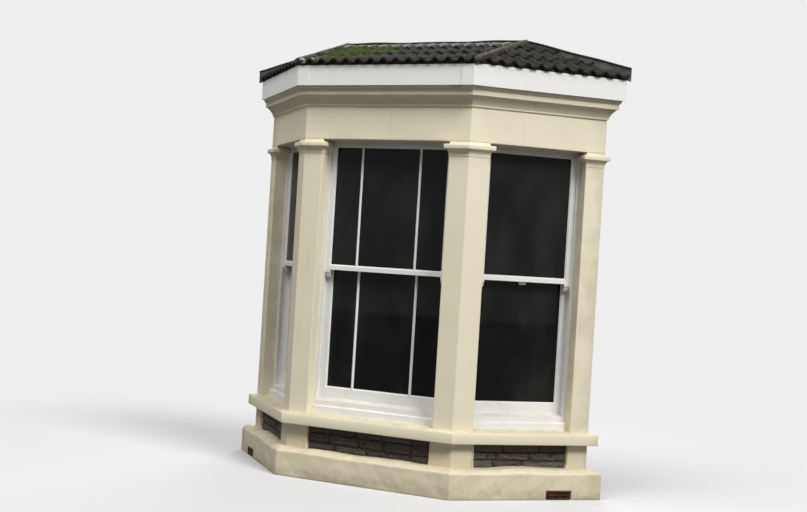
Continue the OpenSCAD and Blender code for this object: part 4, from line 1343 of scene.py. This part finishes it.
@dataclass
class RenderedPlinth:
    """The plinth with the uneven surface and wavy arris of hand-laid render."""

    voxel: float = 0.009
    swell: Span = (0.0032, 0.28)
    ripple: Span = (0.0007, 0.07)
    hump: Span = (0.008, 0.9)
    side_hump: float = 0.014
    bell_w: float = 0.22
    top_from: float = 0.12
    top_fade: float = 0.08
    wall_fade: Span = (0.004, 0.02)
    foot_fade: float = 0.03
    seed: int = 71

    def crown(self, co: Array, plan: Plan) -> Array:
        """How far the top is raised: uneven all round, and a bell over the middle of each side face.

        The bell's height at distance d from a side panel's middle is side_hump exp(-(d / bell_w)^2).
        """
        uneven = (self.hump[0] + waves(co * [1.0, 1.0, 0.0], self.hump, self.seed + 2)) / 2
        middle = plan.face(Side.RIGHT).translation
        away = np.hypot(np.abs(co[:, 0]) - middle.x, co[:, 1] - middle.y)
        return np.clip(uneven, 0.0, self.hump[0]) + self.side_hump * np.exp(-(away / self.bell_w) ** 2)

    def even(self) -> Piece:
        """Copy of the node, remeshed into cells of one size."""
        source = bpy.data.meshes.new("plinth_source")
        piece = finished(opened(frame["nodes"]["plinth"].data, 2e-5), source, 180.0)
        grid = piece.modifiers.new("even", "REMESH")
        grid.mode = "VOXEL"
        grid.voxel_size = self.voxel
        grid.use_smooth_shade = True
        mesh = bpy.data.meshes.new_from_object(piece.evaluated_get(bpy.context.evaluated_depsgraph_get()))
        piece.modifiers.clear()
        piece.data = mesh
        bpy.data.meshes.remove(source)
        piece.name = mesh.name = "rendered_plinth"
        return piece

    def build(self, plan: Plan, paint: Material) -> None:
        """Moves the points of the even copy along their normals and raises its top."""
        piece = self.even()
        vertices = piece.data.vertices
        co, normal = (np.empty(len(vertices) * 3) for _ in range(2))
        vertices.foreach_get("co", co)
        vertices.foreach_get("normal", normal)
        co, normal = co.reshape(-1, 3), normal.reshape(-1, 3)
        outside = np.clip((WALL_Y - self.wall_fade[0] - co[:, 1]) / self.wall_fade[1], 0.0, 1.0)
        outside = outside * np.clip(co[:, 2] / self.foot_fade, 0.0, 1.0)
        move = waves(co, self.swell, self.seed) + waves(co, self.ripple, self.seed + 1)
        co = co + normal * (move * outside)[:, None]
        co[:, 2] += self.crown(co, plan) * np.clip((co[:, 2] - self.top_from) / self.top_fade, 0.0, 1.0)
        co[:, 2] = np.maximum(co[:, 2], 0.0)
        vertices.foreach_set("co", co.ravel())
        piece.data.update()
        hand_over(piece, paint, "painted_render", "plinth")


@dataclass
class InnerDeck:
    """A level layer inside the bay, on or under joists that run out from the house."""

    joist_w: float = 0.050
    joist_pitch: float = 0.400

    def half_width(self, y: Array | float, plan: Plan) -> Array | float:
        """Half width of the inside at a depth: it widens with the side walls."""
        inner_y = WALL_Y - plan.depth + plan.inner_in
        return plan.corner_x(-plan.inner_in) + (y - inner_y) / math.tan(plan.cant)

    def slab(self, x: Array, y: Array, z: Span) -> Pair:
        """Solid over a grid in plan, between two levels."""
        return closed_shell(xyz(x, y, z[1]), xyz(x, y, z[0]))

    def strip(self, y: Span, z: Span, plan: Plan) -> Pair:
        """One layer or board across the bay between two depths and two levels."""
        ends = np.array(y)[:, None]
        return self.slab(self.half_width(ends, plan) * np.linspace(-1.0, 1.0, 9), ends, z)

    def joists(self, y: Span, z: Span, plan: Plan) -> Batch:
        """The joists, each cut where it meets the side walls."""
        batch = Batch()
        for middle in np.arange(-2, 3) * self.joist_pitch:
            start = max(y[0], y[0] + abs(middle) + self.joist_w / 2 - self.half_width(y[0], plan))
            x, ends = np.meshgrid(middle + np.array([-0.5, 0.5]) * self.joist_w, [start, y[1]])
            batch.add(self.slab(x, ends, z))
        return batch


@dataclass
class BayFloor(InnerDeck):
    """Boards laid along the house wall over joists."""

    width: float = 0.125
    gap: float = 0.002
    thick: float = 0.022
    unlevel: float = 0.0008
    seed: int = 83

    def build(self, plan: Plan, timber: Material, sawn: Material) -> None:
        """Makes boards and joists inside the floor node's box."""
        rng = np.random.default_rng(self.seed)
        low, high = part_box("bay_floor")
        boards = Batch()
        pitch = (high.y - low.y) / math.ceil((high.y - low.y) / self.width)
        for start in np.arange(low.y, high.y - pitch / 2, pitch):
            level = high.z - rng.uniform(0.0, self.unlevel)
            span = (start + self.gap / 2, start + pitch - self.gap / 2)
            boards.add(self.strip(span, (high.z - self.thick, level), plan), float(rng.uniform()))
        boards.build("floor_boards", 30.0, timber, "floor_boards", "bay_floor")
        joists = self.joists((low.y, high.y), (low.z, high.z - self.thick), plan)
        joists.build("floor_joists", 30.0, sawn, "floor_boards")


@dataclass
class BayCeiling(InnerDeck):
    """A plaster sheet under joists."""

    thick: float = 0.013

    def build(self, plan: Plan, plaster: Material, sawn: Material) -> None:
        """Makes the sheet and the joists inside the ceiling node's box."""
        low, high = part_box("bay_ceiling")
        depth = (low.y, high.y)
        sheet = Batch().add(self.strip(depth, (low.z, low.z + self.thick), plan))
        sheet.build("ceiling_sheet", 30.0, plaster, "plaster", "bay_ceiling")
        self.joists(depth, (low.z + self.thick, high.z), plan).build("ceiling_joists", 30.0, sawn, "timber")


@dataclass
class SashFurniture:
    """Fasteners on the meeting rails and a pull under one of them."""

    base: Triple = (0.050, 0.018, 0.003)
    post: Triple = (0.017, 0.017, 0.020)
    arm: Triple = (0.046, 0.011, 0.006)
    pull: Triple = (0.060, 0.012, 0.022)
    pull_drop: float = 0.068
    pull_out: float = 0.005
    arm_shift: float = 0.008
    arm_level: float = 0.55
    rail_y: float = 0.193
    at: float = 0.385

    def block(self, centre: Triple, size: Triple, power: float = 4.0) -> Pair:
        """Block with rounded corners: a superellipse in plan, with a softened top edge."""
        a = np.linspace(0.0, 2.0 * np.pi, 25)
        across, deep = (np.sign(turn) * np.abs(turn) ** (2 / power) for turn in (np.cos(a), np.sin(a)))
        share = np.array([0.02, 0.80, 0.93, 1.0, 1.0])[:, None]
        drop = np.array([0.0, 0.0, 0.10, 0.30, 0.60])[:, None]
        x = centre[0] + 0.5 * size[0] * share * across
        y = centre[1] + 0.5 * size[1] * share * deep
        return closed_shell(xyz(x, y, centre[2] + size[2] * (1.0 - drop)), xyz(x, y, centre[2]))

    def fastener(self, x: float, z: float) -> list[Pair]:
        """Base plate, post and swinging arm of one fastener on a rail's top."""
        top_z = z + self.base[2]
        arm_z = top_z + self.arm_level * self.post[2]
        return [
            self.block((x, self.rail_y, z), self.base),
            self.block((x, self.rail_y, top_z), self.post, 2.0),
            self.block((x + self.arm_shift, self.rail_y, arm_z), self.arm, 3.0),
        ]

    def build(self, plan: Plan, paint: Material) -> None:
        """Puts two fasteners on the front window, and one and a pull on each side window."""
        low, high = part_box("lower_sash_front")
        pull_y = low.y - (WALL_Y - plan.depth) - self.pull_out
        for side in Side:
            places = (-self.at, self.at) if side is Side.FRONT else (0.0,)
            solids = [solid for x in places for solid in self.fastener(x, high.z)]
            if side is not Side.FRONT:
                solids.append(self.block((0.0, pull_y, high.z - self.pull_drop), self.pull))
            batch = Batch()
            for solid in solids:
                batch.add(plan.on_face(side, solid))
            batch.build(f"sash_fasteners_{side.value}", 50.0, paint, "window_paint")


@dataclass(frozen=True)
class View:
    """Camera where the photographer stood, turned to the bay."""

    eye: Triple = (4.634, -9.4725, 1.814)
    aim: Triple = (0.06, -0.06, 1.815)
    roll_deg: float = 3.5
    lens: float = 58.0
    sensor: float = 36.0

    def build(self) -> None:
        """Makes the camera: columns are right, up and backwards, turned by the roll."""
        eye = Vector(self.eye)
        ahead = (Vector(self.aim) - eye).normalized()
        right = ahead.cross(Vector((0.0, 0.0, 1.0))).normalized()
        up = right.cross(ahead)
        roll = math.radians(self.roll_deg)
        turned = right * math.cos(roll) + up * math.sin(roll)
        above = up * math.cos(roll) - right * math.sin(roll)
        data = bpy.data.cameras.new("camera")
        data.lens = self.lens
        data.sensor_width = self.sensor
        camera = linked("camera", data)
        basis = Matrix((turned, above, -ahead)).transposed().to_4x4()
        camera.matrix_world = Matrix.Translation(eye) @ basis
        bpy.context.scene.camera = camera


@dataclass(frozen=True)
class Lamp:
    """One soft area lamp that looks at a point of the bay."""

    name: str
    place: Triple
    size: float
    power: float
    aim: Triple = (0.0, 0.0, 1.8)

    def build(self) -> None:
        """Makes the lamp."""
        data = bpy.data.lights.new(self.name, "AREA")
        data.shape = "DISK"
        data.size = self.size
        data.energy = self.power
        way = Vector(self.aim) - Vector(self.place)
        turn = way.to_track_quat("-Z", "Y").to_matrix().to_4x4()
        linked(self.name, data).matrix_world = Matrix.Translation(self.place) @ turn


@dataclass
class Studio:
    """Pale floor that fades into a pale backdrop, with soft light from above and from the right."""

    floor_r: float = 30.0
    fade: Span = (2.6, 6.5)
    floor_tone: float = 0.545
    bounce_tone: float = 0.10
    backdrop: float = 0.86
    ambient: float = 0.175
    lamps: tuple[Lamp, ...] = (
        Lamp("key_lamp", (16.0, -7.8, 19.8), 10.0, 6150.0),
        Lamp("sky_lamp", (-4.0, -10.0, 22.2), 14.0, 3950.0),
        Lamp("back_lamp", (-3.0, 8.0, 7.0), 6.0, 480.0),
    )

    def floor(self) -> None:
        """Makes the floor as one flat disc that turns into the backdrop's tone away from the object."""
        angle = np.linspace(0.0, 2.0 * np.pi, 64, endpoint=False)
        rim = self.floor_r * xyz(np.cos(angle), np.sin(angle), 0.0)
        mesh = bpy.data.meshes.new("floor")
        mesh.from_pydata(rim.tolist(), [], [list(range(64))])
        mesh.materials.append(self.floor_paint())
        floor = linked("floor", mesh)

    def floor_paint(self) -> Material:
        """Makes the floor's material: pale to the eye, quieter as a source of bounced light."""
        s = Sheet("pale_floor")
        seen = s.node("LightPath")["Is Camera Ray"]
        level = s.span(seen, 0.0, 1.0, self.bounce_tone, self.floor_tone)
        s.wear(s.node("CombineColor", dict.fromkeys(("Red", "Green", "Blue"), level))[0], 0.9)
        away = s.node("VectorMath", {0: s.place}, operation="LENGTH")["Value"]
        far = s.times(s.span(away, *self.fade), seen)
        glow = s.node("Emission", {"Strength": self.backdrop})[0]
        both = s.node("MixShader", {0: far, 1: s.shader.outputs[0], 2: glow})[0]
        s.put(s.tree.nodes["Material Output"], {"Surface": both})
        return s.material

    def world(self) -> None:
        """Makes a world that shows pale to the eye and in reflections, and lights at a low level."""
        world = bpy.data.worlds.new("studio")
        bpy.context.scene.world = world
        world.use_nodes = True
        world.node_tree.nodes.clear()
        w = Nodes(world.node_tree)
        path = w.node("LightPath")
        seen = path["Is Camera Ray"]
        for name in ("Is Glossy Ray", "Is Transmission Ray"):
            seen = w.node("Math", {0: seen, 1: path[name]}, operation="MAXIMUM")[0]
        levels = {"Value": seen, "To Min": self.ambient, "To Max": self.backdrop}
        strength = w.node("MapRange", levels)["Result"]
        back = w.node("Background", {"Color": (1.0, 1.0, 1.0, 1.0), "Strength": strength})["Background"]
        w.node("OutputWorld", {"Surface": back})

    def build(self) -> None:
        """Makes floor, world and lamps."""
        self.floor()
        self.world()
        for lamp in self.lamps:
            lamp.build()


def dress_carried(finishes: dict[str, Material]) -> None:
    """Gives each node that keeps its own mesh the finish of its slot."""
    slots = {row["node"]: row["material_slot"] for row in frame["record"]["subparts"]}
    for name, node in frame["nodes"].items():
        if node.hide_render:
            continue
        node.data.materials.clear()
        node.data.materials.append(finishes[slots[name]])
        log.info("%-22s carried over, %s", name, slots[name])


def main() -> None:
    """Builds the finishes, the sub-assemblies and the studio in order."""
    logging.basicConfig(level=logging.INFO, format="%(message)s", stream=sys.stdout)
    bpy.context.scene.view_settings.view_transform = "Standard"
    View().build()
    Studio().build()

    mortar = Grainy("pale_mortar", Tone.MORTAR_PALE, Tone.MORTAR, 34.0).build()
    hip_mortar = Grainy("hip_mortar", Tone.MORTAR_MID, Tone.TILE_GREY, 34.0).build()
    dark_mortar = Grainy("dark_mortar", Tone.MORTAR_DARK, Tone.TILE_GREY, 40.0).build()
    finishes = {
        "painted_render": PaintedRender().build(),
        "pennant_stone": RubbleStone().build(),
        "terracotta": Grainy("fired_clay", Tone.CLAY, Tone.CLAY_DARK, 26.0).build(),
        "white_board": FasciaBoard().build(),
        "roof_tile": WeatheredTile().build(),
        "lead": Grainy("sheet_lead", Tone.LEAD, Tone.LEAD_PALE, 7.0, (0.60, 0.78), 0.20, 0.2, 0.25).build(),
        "timber": Boards("sawn_timber", (0.10, 0.10, 1.0), (0.7, 0.85)).build(),
        "floor_boards": Boards("planed_boards").build(),
        "plaster": Grainy("painted_plaster", Tone.PLASTER, Tone.PLASTER_SHADE, 3.0, (0.7, 0.85),
                          0.12).build(),
        "window_paint": GlossPaint().build(),
        "glass": PaneWithPaintedDark().build(),
    }
    paint, gloss = finishes["painted_render"], finishes["window_paint"]

    roof, lead = TiledRoof(), LeadFlashing()
    roof.build(PLAN, finishes["roof_tile"], dark_mortar)
    Hips().build(PLAN, roof, hip_mortar)
    lead.build(PLAN, roof, finishes["lead"], hip_mortar)
    Moss().build(PLAN, roof, lead, MossCushion().build())
    StonePanels().build(PLAN, finishes["pennant_stone"], dark_mortar)
    Haunches().build(PLAN, paint)
    RenderedPlinth().build(PLAN, paint)
    RenderedFrieze().build(PLAN, paint)
    MortarLump().build(mortar)
    GlazingBars().build(PLAN, gloss)
    SashFurniture().build(PLAN, gloss)
    BayFloor().build(PLAN, finishes["floor_boards"], finishes["timber"])
    BayCeiling().build(PLAN, finishes["plaster"], finishes["timber"])
    for node in ("pier_bases", "sill_front", "sill_right", "sill_left", "capitals"):
        hand_over(softened(node, STONE_ARRIS, f"{node}_stone"), paint, "painted_render", node)
    dress_carried(finishes)


if __name__ == "__main__":
    main()
